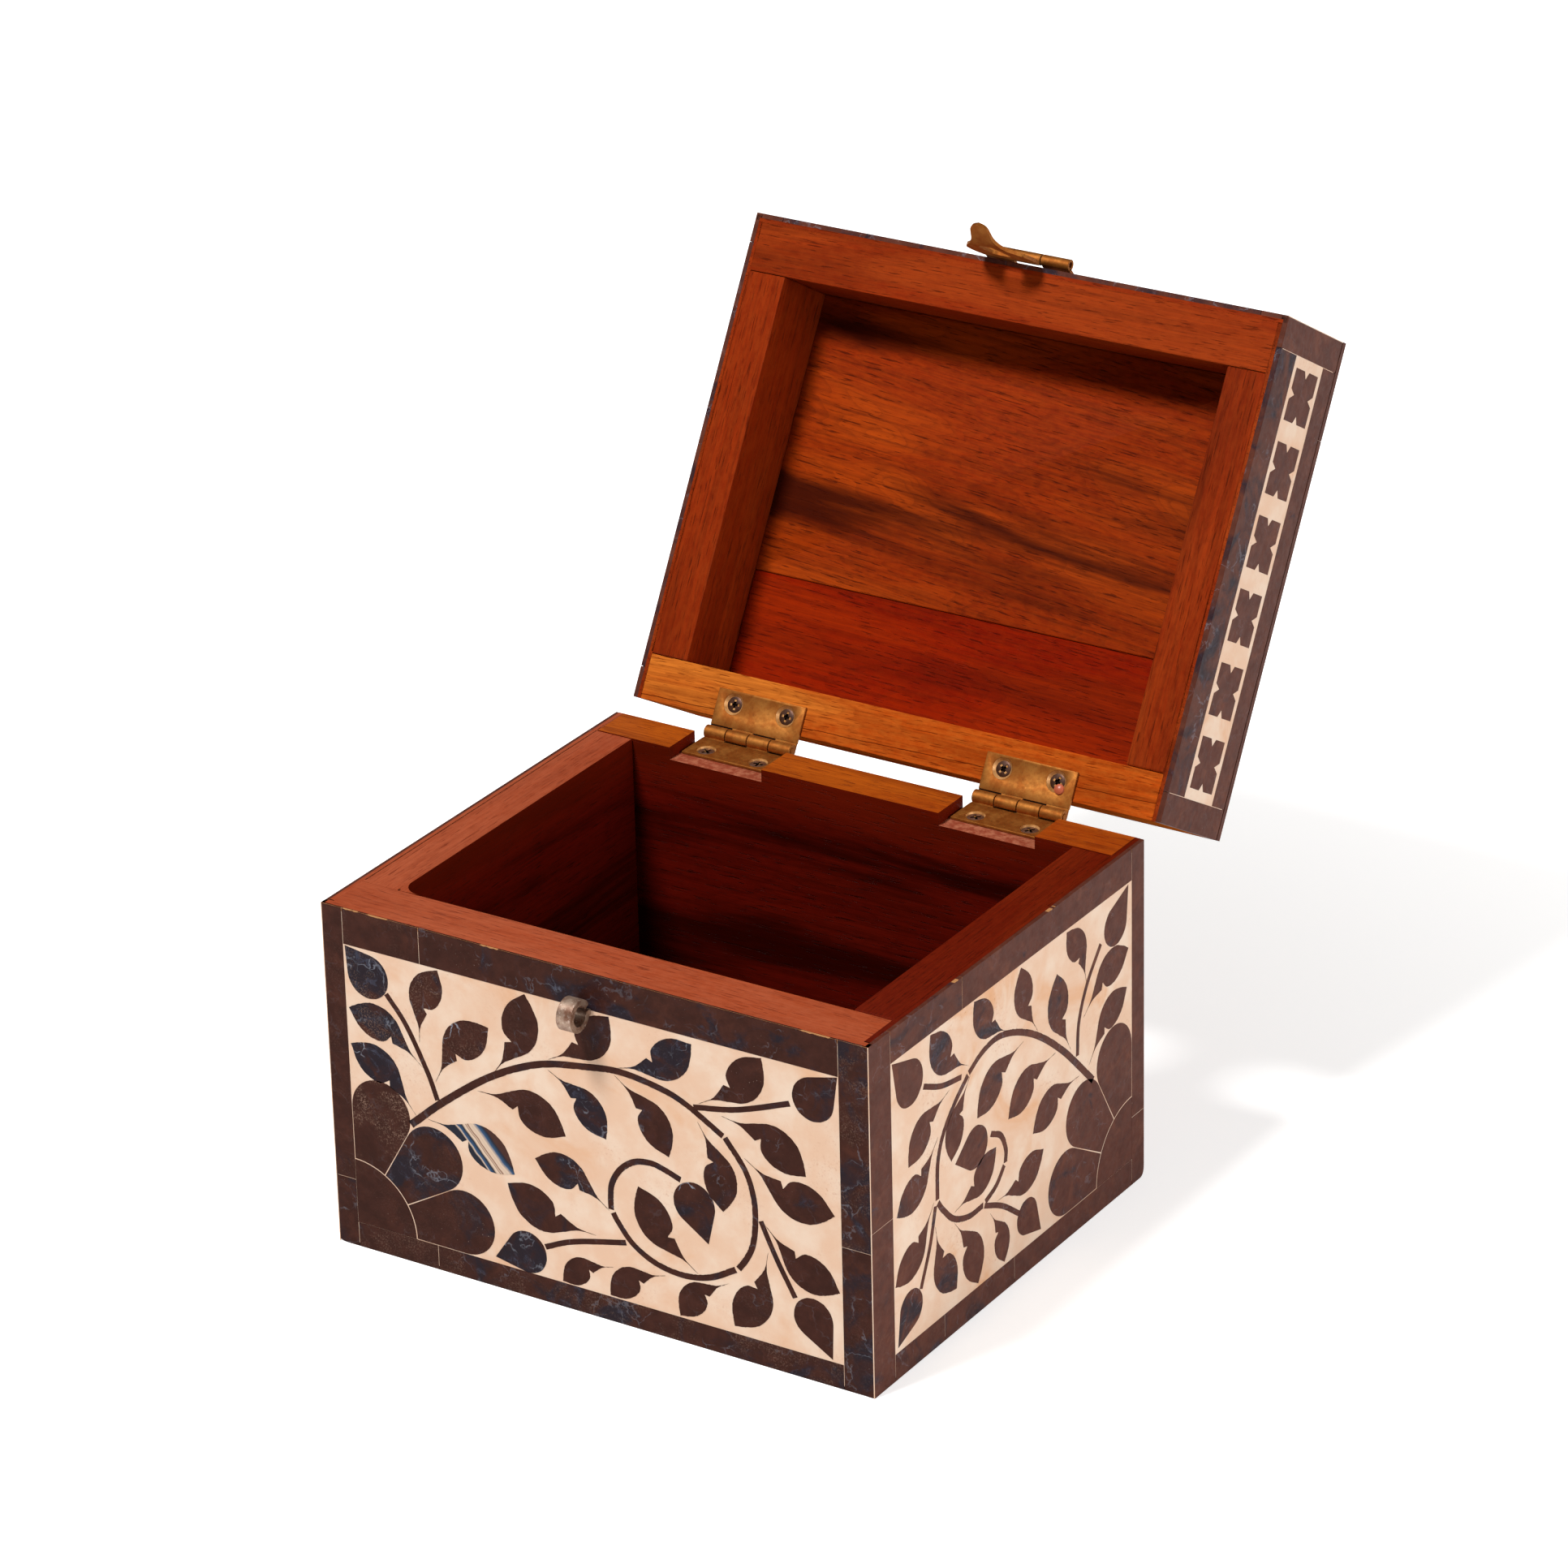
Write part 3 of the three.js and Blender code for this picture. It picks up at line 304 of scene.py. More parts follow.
SIDE_VINE_SHARES = [
    [(0.83, 0.4), (0.77, 0.49), (0.7, 0.59), (0.62, 0.685), (0.55, 0.75), (0.48, 0.795), (0.42, 0.813),
     (0.36, 0.8),
     (0.31, 0.767)],
    [(0.306, 0.762), (0.25, 0.7), (0.203, 0.625), (0.18, 0.54), (0.177, 0.417)],
    [(0.179, 0.405), (0.2, 0.365), (0.243, 0.305), (0.303, 0.272), (0.362, 0.27)],
    [(0.372, 0.276), (0.417, 0.303), (0.451, 0.351)],
    [(0.456, 0.358), (0.458, 0.404), (0.438, 0.464), (0.397, 0.498)],
]
SIDE_STEM_SHARES = [
    [(0.28, 0.773), (0.2, 0.795), (0.128, 0.84)],
    [(0.763, 0.53), (0.77, 0.645), (0.805, 0.755), (0.865, 0.86)],
    [(0.368, 0.265), (0.44, 0.215), (0.51, 0.14)],
    [(0.169, 0.4), (0.145, 0.28), (0.106, 0.155)],
]

# Worn stretches of the top edge, as shares of the face's width
FRONT_CHIP_SHARES = [(0.04, 0.07), (0.085, 0.125), (0.3, 0.335), (0.88, 0.93)]
SIDE_CHIP_SHARES = [(0.02, 0.05), (0.3, 0.32), (0.64, 0.67)]

# Petals from the bottom up, then the disc: how blue and how rusty
PETAL_LOOKS = {
    "front": [(0.1, 0.1), (0.75, 0.1), (0.1, 0.9), (0.1, 0.1)],
    "side": [(0.3, 0), (0.2, 0), (0.1, 0), (0, 0)],
}

# Border tiles by strip, from the left or the bottom: how blue and how rusty
BORDER_LOOKS = {
    "front": {
        "top": [(0.1, 0.4), (0.35, 0.0)], "bottom": [(0.1, 0.4), (0.4, 0.4)],
        "left": [(0.5, 0.0), (0.1, 0.1)], "right": [(0.55, 0.1), (0.5, 0.5)],
    },
    "side": {
        "top": [(0.35, 0.0), (0.1, 0.0)], "bottom": [(0.45, 0.1), (0.25, 0.0), (0.05, 0.0)],
        "left": [(0.1, 0.0), (0.2, 0.0)], "right": [(0.05, 0.0), (0.0, 0.0)],
    },
    "lid_side": {
        "top": [(0.1, 0.0)], "bottom": [(0.5, 0.0)], "left": [(0.1, 0.0)], "right": [(0.1, 0.0)],
    },
}

# Colours of the banded leaf by their share across the bands
AGATE_SHARES = [
    (0.0, "agate_dark"), (0.21, "agate_dark"), (0.24, "agate_pale"), (0.27, "agate_blue"),
    (0.36, "agate_dark"),
    (0.4, "agate_pale"), (0.45, "agate_pale"), (0.465, "agate_brown"), (0.48, "agate_pale"),
    (0.53, "agate_brown"),
    (0.55, "agate_pale"), (0.68, "agate_pale"), (0.77, "agate_blue"), (0.87, "agate_dark"), (0.91, "dark"),
]

# Right half of the hasp leaf: share of its reach, share of its half width
HASP_OUTLINE_SHARES = [
    (0.12, 0.58), (0.23, 0.82), (0.34, 0.95), (0.47, 1.0), (0.6, 0.94), (0.72, 0.72), (0.79, 0.5),
    (0.86, 0.36),
    (0.92, 0.31), (0.96, 0.27), (0.985, 0.18), (1.0, 0.0),
]

# Colours in hexadecimal: red, green and blue
COLOURS = {
    "cream": "E2BDA1", "cream_stain": "DCA67C", "cream_rust": "B9744A", "cream_pale": "E8CFB9",
    "dark": "42231B", "dark_deep": "341A13", "dark_warm": "4A281E",
    # Painted light: a lighter copy of the dark tile colours for the side and lid faces, standing in for the
    # stronger light on them.
    "painted_lit_dark": "5C3226", "painted_lit_dark_deep": "4C271D", "painted_lit_dark_warm": "683A2A",
    "blue": "1E1B24", "blue_pale": "4A5164", "vein": "9296A2", "rust": "86695A", "dust": "A58E80",
    "agate_blue": "2F5074", "agate_pale": "D8BFA8", "agate_dark": "171A28", "agate_brown": "7A4A34",
    "rim": "9E4424", "rim_light": "B46242", "rim_dark": "702812",
    "rim_deep": "601405", "rim_deep_light": "78240A", "rim_deep_dark": "300602",
    "gold": "B84A10", "gold_light": "D4782A", "gold_dark": "6A2206",
    "back_rim": "983C0A", "back_rim_light": "B45A14", "back_rim_dark": "601E06",
    "raw": "8A402C", "raw_light": "A8644A", "lit_inner": "701C05",
    "inner": "5E0D04", "inner_light": "6C1506", "inner_dark": "200200",
    "panel": "882806", "panel_light": "AA420C", "panel_dark": "380E05",
    "panel_low": "841602", "panel_low_light": "9C2C04", "panel_low_dark": "440A03",
    "rail": "842708", "rail_light": "A04214", "rail_dark": "441204",
    # The last brass tone is a painted highlight, used on the screw seats.
    "brass": "925019", "brass_light": "A86C2E", "brass_dark": "683612", "painted_highlight_brass": "DCA468",
    "steel": "A28A78", "steel_light": "CDB9AA", "steel_dark": "6C4430",
    "screw": "3A1E10", "screw_light": "4E2E1C", "pale_screw": "6A5044", "pale_screw_light": "907464",
    # Painted shade: the colour of the screws' cross recesses and of the bars in the hinge slots.
    "recess": "1C120E",
    "glue": "B4583A", "worn_edge": "B07A48", "floor": "F4F2F0",
}


# Each board: kind, way of its grain, how streaked and how figured, tones inside, lean of its grain
BOARDS = {
    "front_wall": ("rim", "X", 0.15, 0.3, "inner", 0.0),
    "back_wall": ("back_rim", "X", 0.5, 0.6, "inner", 0.0),
    "left_wall": ("rim", "Y", 0.25, 0.3, "inner", 0.0),
    "right_wall": ("rim_deep", "Y", 0.55, 0.5, "inner", 0.0),
    "bottom_board": ("inner", "X", 0.5, 0.5, None, 0.0),
    "lid_front_rail": ("rail", "X", 0.4, 0.4, None, 0.0),
    "lid_back_rail": ("gold", "X", 0.55, 0.9, None, 0.02),
    "lid_left_rail": ("rail", "Y", 0.35, 0.4, None, 0.0),
    "lid_right_rail": ("rail", "Y", 0.55, 0.6, None, 0.0),
    "lid_front_board": ("panel", "X", 0.95, 0.85, None, -0.08),
    "lid_back_board": ("panel_low", "X", 0.45, 0.7, None, -0.04),
}

# Each metal or filler: name, three tones, least and most roughness, wear, how metallic
METALS = {
    "brass": ("worn_brass", ("brass", "brass_light", "brass_dark"), 0.55, 0.68, 0.35, 0.85),
    "steel": ("dull_steel", ("steel", "steel_dark", "steel_light"), 0.4, 0.6, 0.7, 0.6),
    # Painted highlight: the screw seats are drawn pale to stand for the light they catch.
    "seat": ("seat_painted_highlight", ("painted_highlight_brass", "brass_light", "brass"), 0.4, 0.5, 0.3, 0.4),
    "screw": ("dark_screw", ("screw", "screw_light", "screw"), 0.4, 0.55, 0.3, 0.6),
    "pale_screw": ("pale_screw", ("pale_screw", "pale_screw_light", "screw"), 0.35, 0.5, 0.5, 0.8),
    "glue": ("glue", ("glue", "glue", "glue"), 0.3, 0.4, 0.0, 0.0),
    "worn_edge": ("worn_edge", ("worn_edge", "worn_edge", "worn_edge"), 0.6, 0.8, 0.0, 0.0),
    # Painted shade for the recesses and slots.
    "recess": ("painted_shade", ("recess", "recess", "recess"), 0.6, 0.8, 0.3, 1.0),
}
NO_LOOK = (0, 0, 0, 0)


# Outlines
def spline(points, step_count):
    """A smooth open line through the points."""
    ends = [points[0] * 2 - points[1], *points, points[-1] * 2 - points[-2]]
    line = []
    for a, b, c, d in zip(ends, ends[1:], ends[2:], ends[3:]):
        for i in range(step_count):
            t = i / step_count
            line.append((b * 2 + (c - a) * t + (a * 2 - b * 5 + c * 4 - d) * t * t
                         + (b * 3 - a - c * 3 + d) * t ** 3) / 2)
    return [*line, points[-1]]


def arc(centre, radius, start, end, steps):
    angles = [start + (end - start) * i / steps for i in range(steps + 1)]
    return [centre + Vector((math.cos(a), math.sin(a))) * radius for a in angles]


def leaf_outline(stalk, tip, side):
    axis = tip - stalk
    out = Vector((-axis.y, axis.x)) * side
    outline = []
    for run in LEAF_RUN_SHARES:
        smooth = spline([stalk + axis * a + out * b for a, b in run], CURVE_STEPS if len(run) > 2 else 1)
        outline += smooth[:-1]
    return outline


def bud_outline(tip, end, half_width):
    axis = end - tip
    radius = axis.length * half_width
    centre = tip + axis * (1 - half_width)
    turn = math.pi - math.acos(radius / (centre - tip).length)
    heading = math.atan2(axis.y, axis.x)
    return [tip, *arc(centre, radius, heading - turn, heading + turn, ARC_STEPS)]


def ribbon_outline(middle, start_width, end_width, rng, nick):
    line = spline(middle, CURVE_STEPS * 2)
    total = sum((b - a).length for a, b in zip(line, line[1:]))
    sides = {1: [], -1: []}
    run = 0.0
    for i, at in enumerate(line):
        way = (line[min(i + 1, len(line) - 1)] - line[max(i - 1, 0)]).normalized()
        run += (at - line[i - 1]).length if i else 0.0
        half = (start_width + (end_width - start_width) * run / total) / 2
        for side in sides:
            cut = rng.random() ** 3 * nick if side < 0 else rng.random() * nick / 4
            sides[side].append(at + Vector((-way.y, way.x)) * side * (half - cut))
    return [*sides[-1], *reversed(sides[1])]


def flower_outlines(panel, way):
    corner = Vector((panel["left"] if way > 0 else panel["right"], panel["bottom"]))
    sector = QUARTER / 3
    slack = PETAL_JOINT / 2
    outlines = []
    for index in range(3):
        heading = sector * (index + 0.5)
        centre = Vector((math.cos(heading), math.sin(heading))) * PETAL_REACH
        root = arc(Vector((0, 0)), DISC_RADIUS + slack, heading + sector / 2 - slack / DISC_RADIUS,
                   heading - sector / 2 + slack / DISC_RADIUS, CURVE_STEPS)
        turn = QUARTER + math.asin(PETAL_RADIUS / PETAL_REACH)
        outlines.append(root + arc(centre, PETAL_RADIUS - slack, heading - turn, heading + turn, ARC_STEPS))
    disc = [Vector((0, 0)), *arc(Vector((0, 0)), DISC_RADIUS - slack, 0, QUARTER, ARC_STEPS)]
    return [[corner + Vector((p.x * way, p.y)) for p in outline] for outline in [*outlines, disc]]


def cross_outline(centre):
    x, y, n = CROSS_LENGTH / 2, CROSS_HEIGHT / 2, CROSS_NOTCH_HALF
    quarter = [(x, -y), (x, -n), (x - CROSS_END_NOTCH, 0), (x, n), (x, y), (n, y),
               (0, y - CROSS_SIDE_NOTCH), (-n, y)]
    mirrored = [(-a, -b) for a, b in quarter]
    return [centre + Vector(p) for p in [*quarter, *mirrored]]


def wobbled(outline, rng):
    return [p + Vector((rng.uniform(-1, 1), rng.uniform(-1, 1))) * WOBBLE for p in outline]


def clockwise(outline):
    return sum(a.x * b.y - b.x * a.y for a, b in zip(outline, [*outline[1:], outline[0]])) < 0


def eased(outline, corner, wear):
    """The outline with the corner nearest the given point worn round."""
    index = min(range(len(outline)), key=lambda i: (outline[i] - corner).length)
    at = outline[index]
    ends = []
    for other in (outline[index - 1], outline[(index + 1) % len(outline)]):
        way = (other - at).normalized()
        ends.append(at + way * (abs(way.x) * wear[0] + abs(way.y) * wear[1]))
    steps = [i / CURVE_STEPS for i in range(CURVE_STEPS + 1)]
    bend = [ends[0].lerp(at, t).lerp(at.lerp(ends[1], t), t) for t in steps]
    return [*outline[:index], *bend, *outline[index + 1:]]


# Meshes
def new_object(name, data):
    made = bpy.data.objects.new(name, data)
    bpy.context.scene.collection.objects.link(made)
    return made


def new_mesh(name, verts, faces):
    mesh = bpy.data.meshes.new(name)
    mesh.from_pydata([Vector(v) * MM for v in verts], [], faces)
    return mesh


def new_piece(name, verts, faces, place, body, material, slot, stands_for=()):
    """A piece drawn in millimetres in its own directions, put in place and hung on its body."""
    mesh = new_mesh(name, verts, faces)
    mesh.update()
    piece = new_object(name, mesh)
    piece.matrix_world = place
    mesh.materials.append(material)
    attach(piece, body)
    if stands_for:
        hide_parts(*stands_for)
    return piece


class Tiles:
    """Flat tiles collected into one mesh, each with its own seed and looks."""

    def __init__(self):
        self.verts, self.faces, self.looks = [], [], []

    def add(self, outline, low, high, look):
        ring = list(reversed(outline)) if clockwise(outline) else list(outline)
        first, count = len(self.verts), len(ring)
        self.verts += [(p.x, p.y, low) for p in ring] + [(p.x, p.y, high) for p in ring]
        bottom = list(range(first, first + count))
        top = [i + count for i in bottom]
        sides = [[a, b, b + count, a + count] for a, b in zip(bottom, [*bottom[1:], bottom[0]])]
        self.faces += [list(reversed(bottom)), top, *sides]
        self.looks += [look] * (2 + count)

    def piece(self, name, place, body, material, slot, stands_for=()):
        made = new_piece(name, self.verts, self.faces, place, body, material, slot, stands_for)
        for channel, values in zip(("seed", "blue", "rust", "vein"), zip(*self.looks)):
            layer = made.data.attributes.new(channel, "FLOAT", "FACE")
            layer.data.foreach_set("value", list(values))
        return made


def slab(name, outline, low, high, place, body, material, slot, stands_for=()):
    """One flat tile as a piece of its own."""
    tile = Tiles()
    tile.add(outline, low, high, NO_LOOK)
    return tile.piece(name, place, body, material, slot, stands_for)


def rounded(piece, width):
    weld = piece.modifiers.new("weld", "WELD")
    weld.merge_threshold = WELD_GAP * MM
    bevel = piece.modifiers.new("round", "BEVEL")
    bevel.width = width * MM
    bevel.segments = BEVEL_SEGMENTS
    bevel.limit_method = "ANGLE"
    bevel.angle_limit = ROUND_ANGLE
    return piece


def worn_edges(piece, face):
    """Rounds only the edges along the outside of a veneered face."""
    limits = ((face["trims"][0], face["width"] - face["trims"][1]), (0, face["height"]))
    weight = piece.data.attributes.new("bevel_weight_edge", "FLOAT", "EDGE")
    points = [v.co * PER_MM for v in piece.data.vertices]
    for edge in piece.data.edges:
        a, b = (points[i] for i in edge.vertices)
        on_face = min(a.z, b.z) > SKIN - GROUND_DROP
        outside = any(max(abs(a[axis] - value), abs(b[axis] - value)) < CHIP_DEPTH * 2
                      for axis in (0, 1) for value in limits[axis])
        weight.data[edge.index].value = 1.0 if on_face and outside else 0.0
    bevel = piece.modifiers.new("round", "BEVEL")
    bevel.width = EDGE_ROUND * MM
    bevel.segments = BEVEL_SEGMENTS
    bevel.limit_method = "WEIGHT"
    return piece


def smooth(piece):
    for face in piece.data.polygons:
        face.use_smooth = True
    piece.data.set_sharp_from_angle(angle=SMOOTH_ANGLE)
    return piece


def lathe(profile, sides=ROUND_SIDES):
    """A round solid about its own Z from (radius, height) pairs that start and end on the axis."""
    verts, faces, rings = [], [], []
    for radius, height in profile:
        if radius == 0:
            rings.append([len(verts)])
            verts.append((0, 0, height))
            continue
        rings.append(list(range(len(verts), len(verts) + sides)))
        turns = [2 * math.pi * i / sides for i in range(sides)]
        verts += [(radius * math.cos(a), radius * math.sin(a), height) for a in turns]
    for low, high in zip(rings, rings[1:]):
        for i in range(sides):
            j = (i + 1) % sides
            quad = [low[i % len(low)], low[j % len(low)], high[j % len(high)], high[i % len(high)]]
            faces.append(list(dict.fromkeys(quad)))
    return verts, [f for f in faces if len(f) > 2]


def rod(outline, low, high):
    """An outline drawn across (Y, Z) and pushed along X."""
    ring = list(reversed(outline)) if clockwise(outline) else list(outline)
    count = len(ring)
    verts = [(low, p.x, p.y) for p in ring] + [(high, p.x, p.y) for p in ring]
    sides = [[i, (i + 1) % count, (i + 1) % count + count, i + count] for i in range(count)]
    return verts, [list(reversed(range(count))), list(range(count, 2 * count)), *sides]


def merged(parts):
    verts, faces = [], []
    for part_verts, part_faces in parts:
        first = len(verts)
        verts += part_verts
        faces += [[i + first for i in face] for face in part_faces]
    return verts, faces


def moved(part, place):
    verts, faces = part
    return [tuple(place @ Vector(v)) for v in verts], faces


def strip_outline(middle, thickness):
    """An even strip about a smooth line, for sheet seen edge on."""
    line = spline(middle, CURVE_STEPS)
    sides = {1: [], -1: []}
    for i, at in enumerate(line):
        way = (line[min(i + 1, len(line) - 1)] - line[max(i - 1, 0)]).normalized()
        for side in sides:
            sides[side].append(at + Vector((-way.y, way.x)) * side * thickness / 2)
    return [*sides[-1], *reversed(sides[1])]


def plate_with_holes(outline, holes, low, high):
    """A plate with holes right through it, flat in X and Y."""
    curve = bpy.data.curves.new("plate", "CURVE")
    curve.dimensions = "2D"
    curve.fill_mode = "BOTH"
    curve.extrude = (high - low) / 2
    for ring in [outline, *holes]:
        line = curve.splines.new("POLY")
        line.points.add(len(ring) - 1)
        for point, at in zip(line.points, ring):
            point.co = (at.x, at.y, 0, 1)
        line.use_cyclic_u = True
    carrier = new_object("plate", curve)
    mesh = bpy.data.meshes.new_from_object(carrier.evaluated_get(bpy.context.evaluated_depsgraph_get()))
    middle = (low + high) / 2
    verts = [(v.co.x, v.co.y, v.co.z + middle) for v in mesh.vertices]
    faces = [list(p.vertices) for p in mesh.polygons]
    bpy.data.objects.remove(carrier)
    bpy.data.curves.remove(curve)
    bpy.data.meshes.remove(mesh)
    return verts, faces


# Places
def closed_lid():
    pivot = Matrix.Translation(Vector((0, HINGE_Y, HINGE_Z)) * MM)
    return pivot @ Matrix.Rotation(-LID_OPEN, 4, "X") @ pivot.inverted()


LID_PLACE = closed_lid()
HERE = Matrix.Identity(4)


def standing(origin, quarter_turns):
    turn = Matrix.Rotation(QUARTER * quarter_turns, 4, "Z") @ Matrix.Rotation(QUARTER, 4, "X")
    return Matrix.Translation(Vector(origin) * MM) @ turn


def panel_of(width, height, border):
    return {
        "left": border["left"], "right": width - border["right"],
        "bottom": border["bottom"], "top": height - border["top"],
        "width": width - border["left"] - border["right"],
        "height": height - border["bottom"] - border["top"],
    }


# Materials
def colour(name):
    code = COLOURS[name]
    parts = [int(code[i:i + 2], 16) / 255 for i in (0, 2, 4)]
    linear = [c / 12.92 if c <= 0.04045 else ((c + 0.055) / 1.055) ** 2.4 for c in parts]
    return (*linear, 1.0)


class Shader:
    """A material's nodes, written one call each."""

    def __init__(self, name, **constants):
        self.material = bpy.data.materials.new(name)
        self.material.use_nodes = True
        self.tree = self.material.node_tree
        self.surface = self.tree.nodes["Principled BSDF"]
        for socket, value in constants.items():
            self.surface.inputs[socket.replace("_", " ")].default_value = value

    def node(self, kind, inputs=(), output=0, **settings):
        made = self.tree.nodes.new("ShaderNode" + kind)
        for key, value in settings.items():
            setattr(made, key, value)
        for key, value in dict(inputs).items():
            self.feed(made.inputs[key], value)
        return made.outputs[output]

    def feed(self, socket, value):
        if isinstance(value, bpy.types.NodeSocket):
            self.tree.links.new(value, socket)
        else:
            socket.default_value = value

    def place(self, scale, turn=(0, 0, 0), move=(0, 0, 0), vector=None):
        start = vector or self.node("TexCoord", output=3)
        return self.node("Mapping", {0: start, 1: move, 2: turn, 3: scale})

    def millimetres(self):
        return self.place((PER_MM, PER_MM, PER_MM))

    def noise(self, vector, scale, detail=3.0, rough=0.5, distort=0.0):
        inputs = {"Vector": vector, "Scale": scale, "Detail": detail, "Roughness": rough,
                  "Distortion": distort}
        return self.node("TexNoise", inputs)

    def calc(self, operation, a, b=0.0, clamp=False):
        return self.node("Math", {0: a, 1: b}, operation=operation, use_clamp=clamp)

    def times(self, a, b, clamp=False):
        return self.calc("MULTIPLY", a, b, clamp)

    def span(self, value, low, high, to_low=0.0, to_high=1.0):
        inputs = {0: value, 1: low, 2: high, 3: to_low, 4: to_high}
        return self.node("MapRange", inputs, interpolation_type="SMOOTHSTEP")

    def mix(self, share, a, b, blend="MIX"):
        made = self.tree.nodes.new("ShaderNodeMix")
        made.data_type = "RGBA"
        made.blend_type = blend
        self.feed(made.inputs[0], share)
        self.feed(made.inputs[6], a)
        self.feed(made.inputs[7], b)
        return made.outputs[2]

    def ramp(self, share, stops):
        made = self.tree.nodes.new("ShaderNodeValToRGB")
        elements = made.color_ramp.elements
        elements.remove(elements[1])
        elements[0].position, elements[0].color = stops[0][0], colour(stops[0][1])
        for position, tone in stops[1:]:
            elements.new(position).color = colour(tone)
        self.feed(made.inputs[0], share)
        return made.outputs[0]

    def attribute(self, name):
        return self.node("Attribute", output=2, attribute_name=name)

    def veins(self, at, bent):
        """Wisps along bent cell edges, thick and thin, in patches."""
        edge = self.node("TexVoronoi", {"Vector": bent, "Scale": 0.12}, feature="DISTANCE_TO_EDGE")
        wide = self.span(self.noise(at, 0.5, 5.0, 0.75), 0.3, 0.8, 0.002, 0.1)
        line = self.span(self.calc("DIVIDE", edge, wide), 0.0, 1.0, 1.0, 0.0)
        where = self.span(self.noise(at, 0.12, 3.0, 0.6), 0.46, 0.62)
        return self.times(self.times(line, where), 0.5)

    def bump(self, height, distance, strength=1.0):
        return self.node("Bump", {"Height": height, "Distance": distance * MM, "Strength": strength})

    def finish(self, base, rough, normal=None):
        self.feed(self.surface.inputs["Base Color"], base)
        self.feed(self.surface.inputs["Roughness"], rough)
        if normal:
            self.feed(self.surface.inputs["Normal"], normal)
        return self.material


def tile_material(name, kind):
    s = Shader(name, Specular_IOR_Level=0.05)
    at = s.millimetres()
    seed = s.attribute("seed")
    at = s.node("VectorMath", {0: at, 1: s.node("CombineXYZ", {0: seed, 1: seed, 2: seed})}, operation="ADD")
    warp = s.node("TexNoise", {"Vector": at, "Scale": 0.13, "Detail": 4.0}, output=1)
    bent = s.node("VectorMath", {0: warp, 1: (16.0, 16.0, 16.0), 2: at}, operation="MULTIPLY_ADD")
    body = s.mix(s.span(s.noise(at, 0.22, 5.0, 0.65), 0.3, 0.75), colour(kind + "_deep"), colour(kind))
    body = s.mix(s.span(s.noise(bent, 0.12, 4.0, 0.6), 0.5, 0.8), body, colour(kind + "_warm"))
    blue = s.attribute("blue")
    cloud = s.noise(at, 0.08, 4.0, 0.6, 1.2)
    blue_share = s.span(s.calc("ADD", cloud, s.times(blue, 0.34)), 0.62, 0.84)
    veil = s.span(s.noise(bent, 0.3, 6.0, 0.75, 0.6), 0.5, 0.8)
    body = s.mix(s.times(blue_share, 0.85), body, s.mix(veil, colour("blue"), colour("blue_pale")))
    body = s.mix(s.times(s.veins(at, bent), s.attribute("vein"), True), body, colour("vein"))
    speck = s.span(s.noise(at, 2.2, 4.0, 0.75), 0.48, 0.66)
    patch = s.span(s.noise(bent, 0.1, 3.0), 0.42, 0.62)
    rust_share = s.times(s.times(speck, patch), s.attribute("rust"), True)
    body = s.mix(rust_share, body, colour("rust"))
    dust = s.span(s.noise(at, 1.9, 2.0, 0.5), 0.7, 0.78)
    dust = s.times(dust, s.span(s.noise(at, 0.05, 3.0), 0.45, 0.7))
    body = s.mix(s.times(dust, 0.5), body, colour("dust"))
    rough = s.span(s.noise(at, 0.6, 3.0), 0.3, 0.7, 0.32, 0.46)
    return s.finish(body, rough, s.bump(s.noise(at, 0.5, 4.0, 0.55), TILE_BUMP))


def agate_material():
    """The one leaf cut from banded stone."""
    s = Shader("banded_tile", Specular_IOR_Level=0.1)
    at = s.millimetres()
    heading = (math.cos(AGATE_HEADING), math.sin(AGATE_HEADING), 0.0)
    across = s.node("VectorMath", {0: at, 1: heading}, output=1, operation="DOT_PRODUCT")
    across = s.calc("ADD", across, s.times(s.noise(at, 0.12, 2.0, 0.5), 2.4))
    share = s.calc("DIVIDE", s.calc("SUBTRACT", across, AGATE_START), AGATE_SPAN, True)
    body = s.ramp(share, AGATE_SHARES)
    bands = {"W": across, "Scale": 3.0, "Detail": 3.0, "Roughness": 0.7}
    fine = s.node("TexNoise", bands, noise_dimensions="1D")
    body = s.mix(s.span(fine, 0.5, 0.8, 0.0, 0.35), body, colour("agate_dark"))
    return s.finish(body, 0.34, s.bump(fine, TILE_BUMP))


def cream_material(name, stain):
    s = Shader(name, Specular_IOR_Level=0.15)
    at = s.millimetres()
    broad = s.noise(at, 0.035, 4.0, 0.6, 0.8)
    body = s.mix(s.span(s.noise(at, 0.09, 4.0, 0.6), 0.35, 0.7), colour("cream"), colour("cream_pale"))
    body = s.mix(s.times(s.span(broad, 0.5, 0.7), stain), body, colour("cream_stain"))
    speck = s.span(s.noise(at, 1.4, 5.0, 0.75), 0.52, 0.75)
    speck = s.times(speck, s.span(s.noise(at, 0.06, 3.0), 0.48, 0.7))
    body = s.mix(s.times(speck, stain), body, colour("cream_rust"))
    rough = s.span(s.noise(at, 0.5, 3.0), 0.3, 0.7, 0.4, 0.55)
    return s.finish(body, rough, s.bump(s.noise(at, 0.8, 5.0, 0.6), CREAM_BUMP))


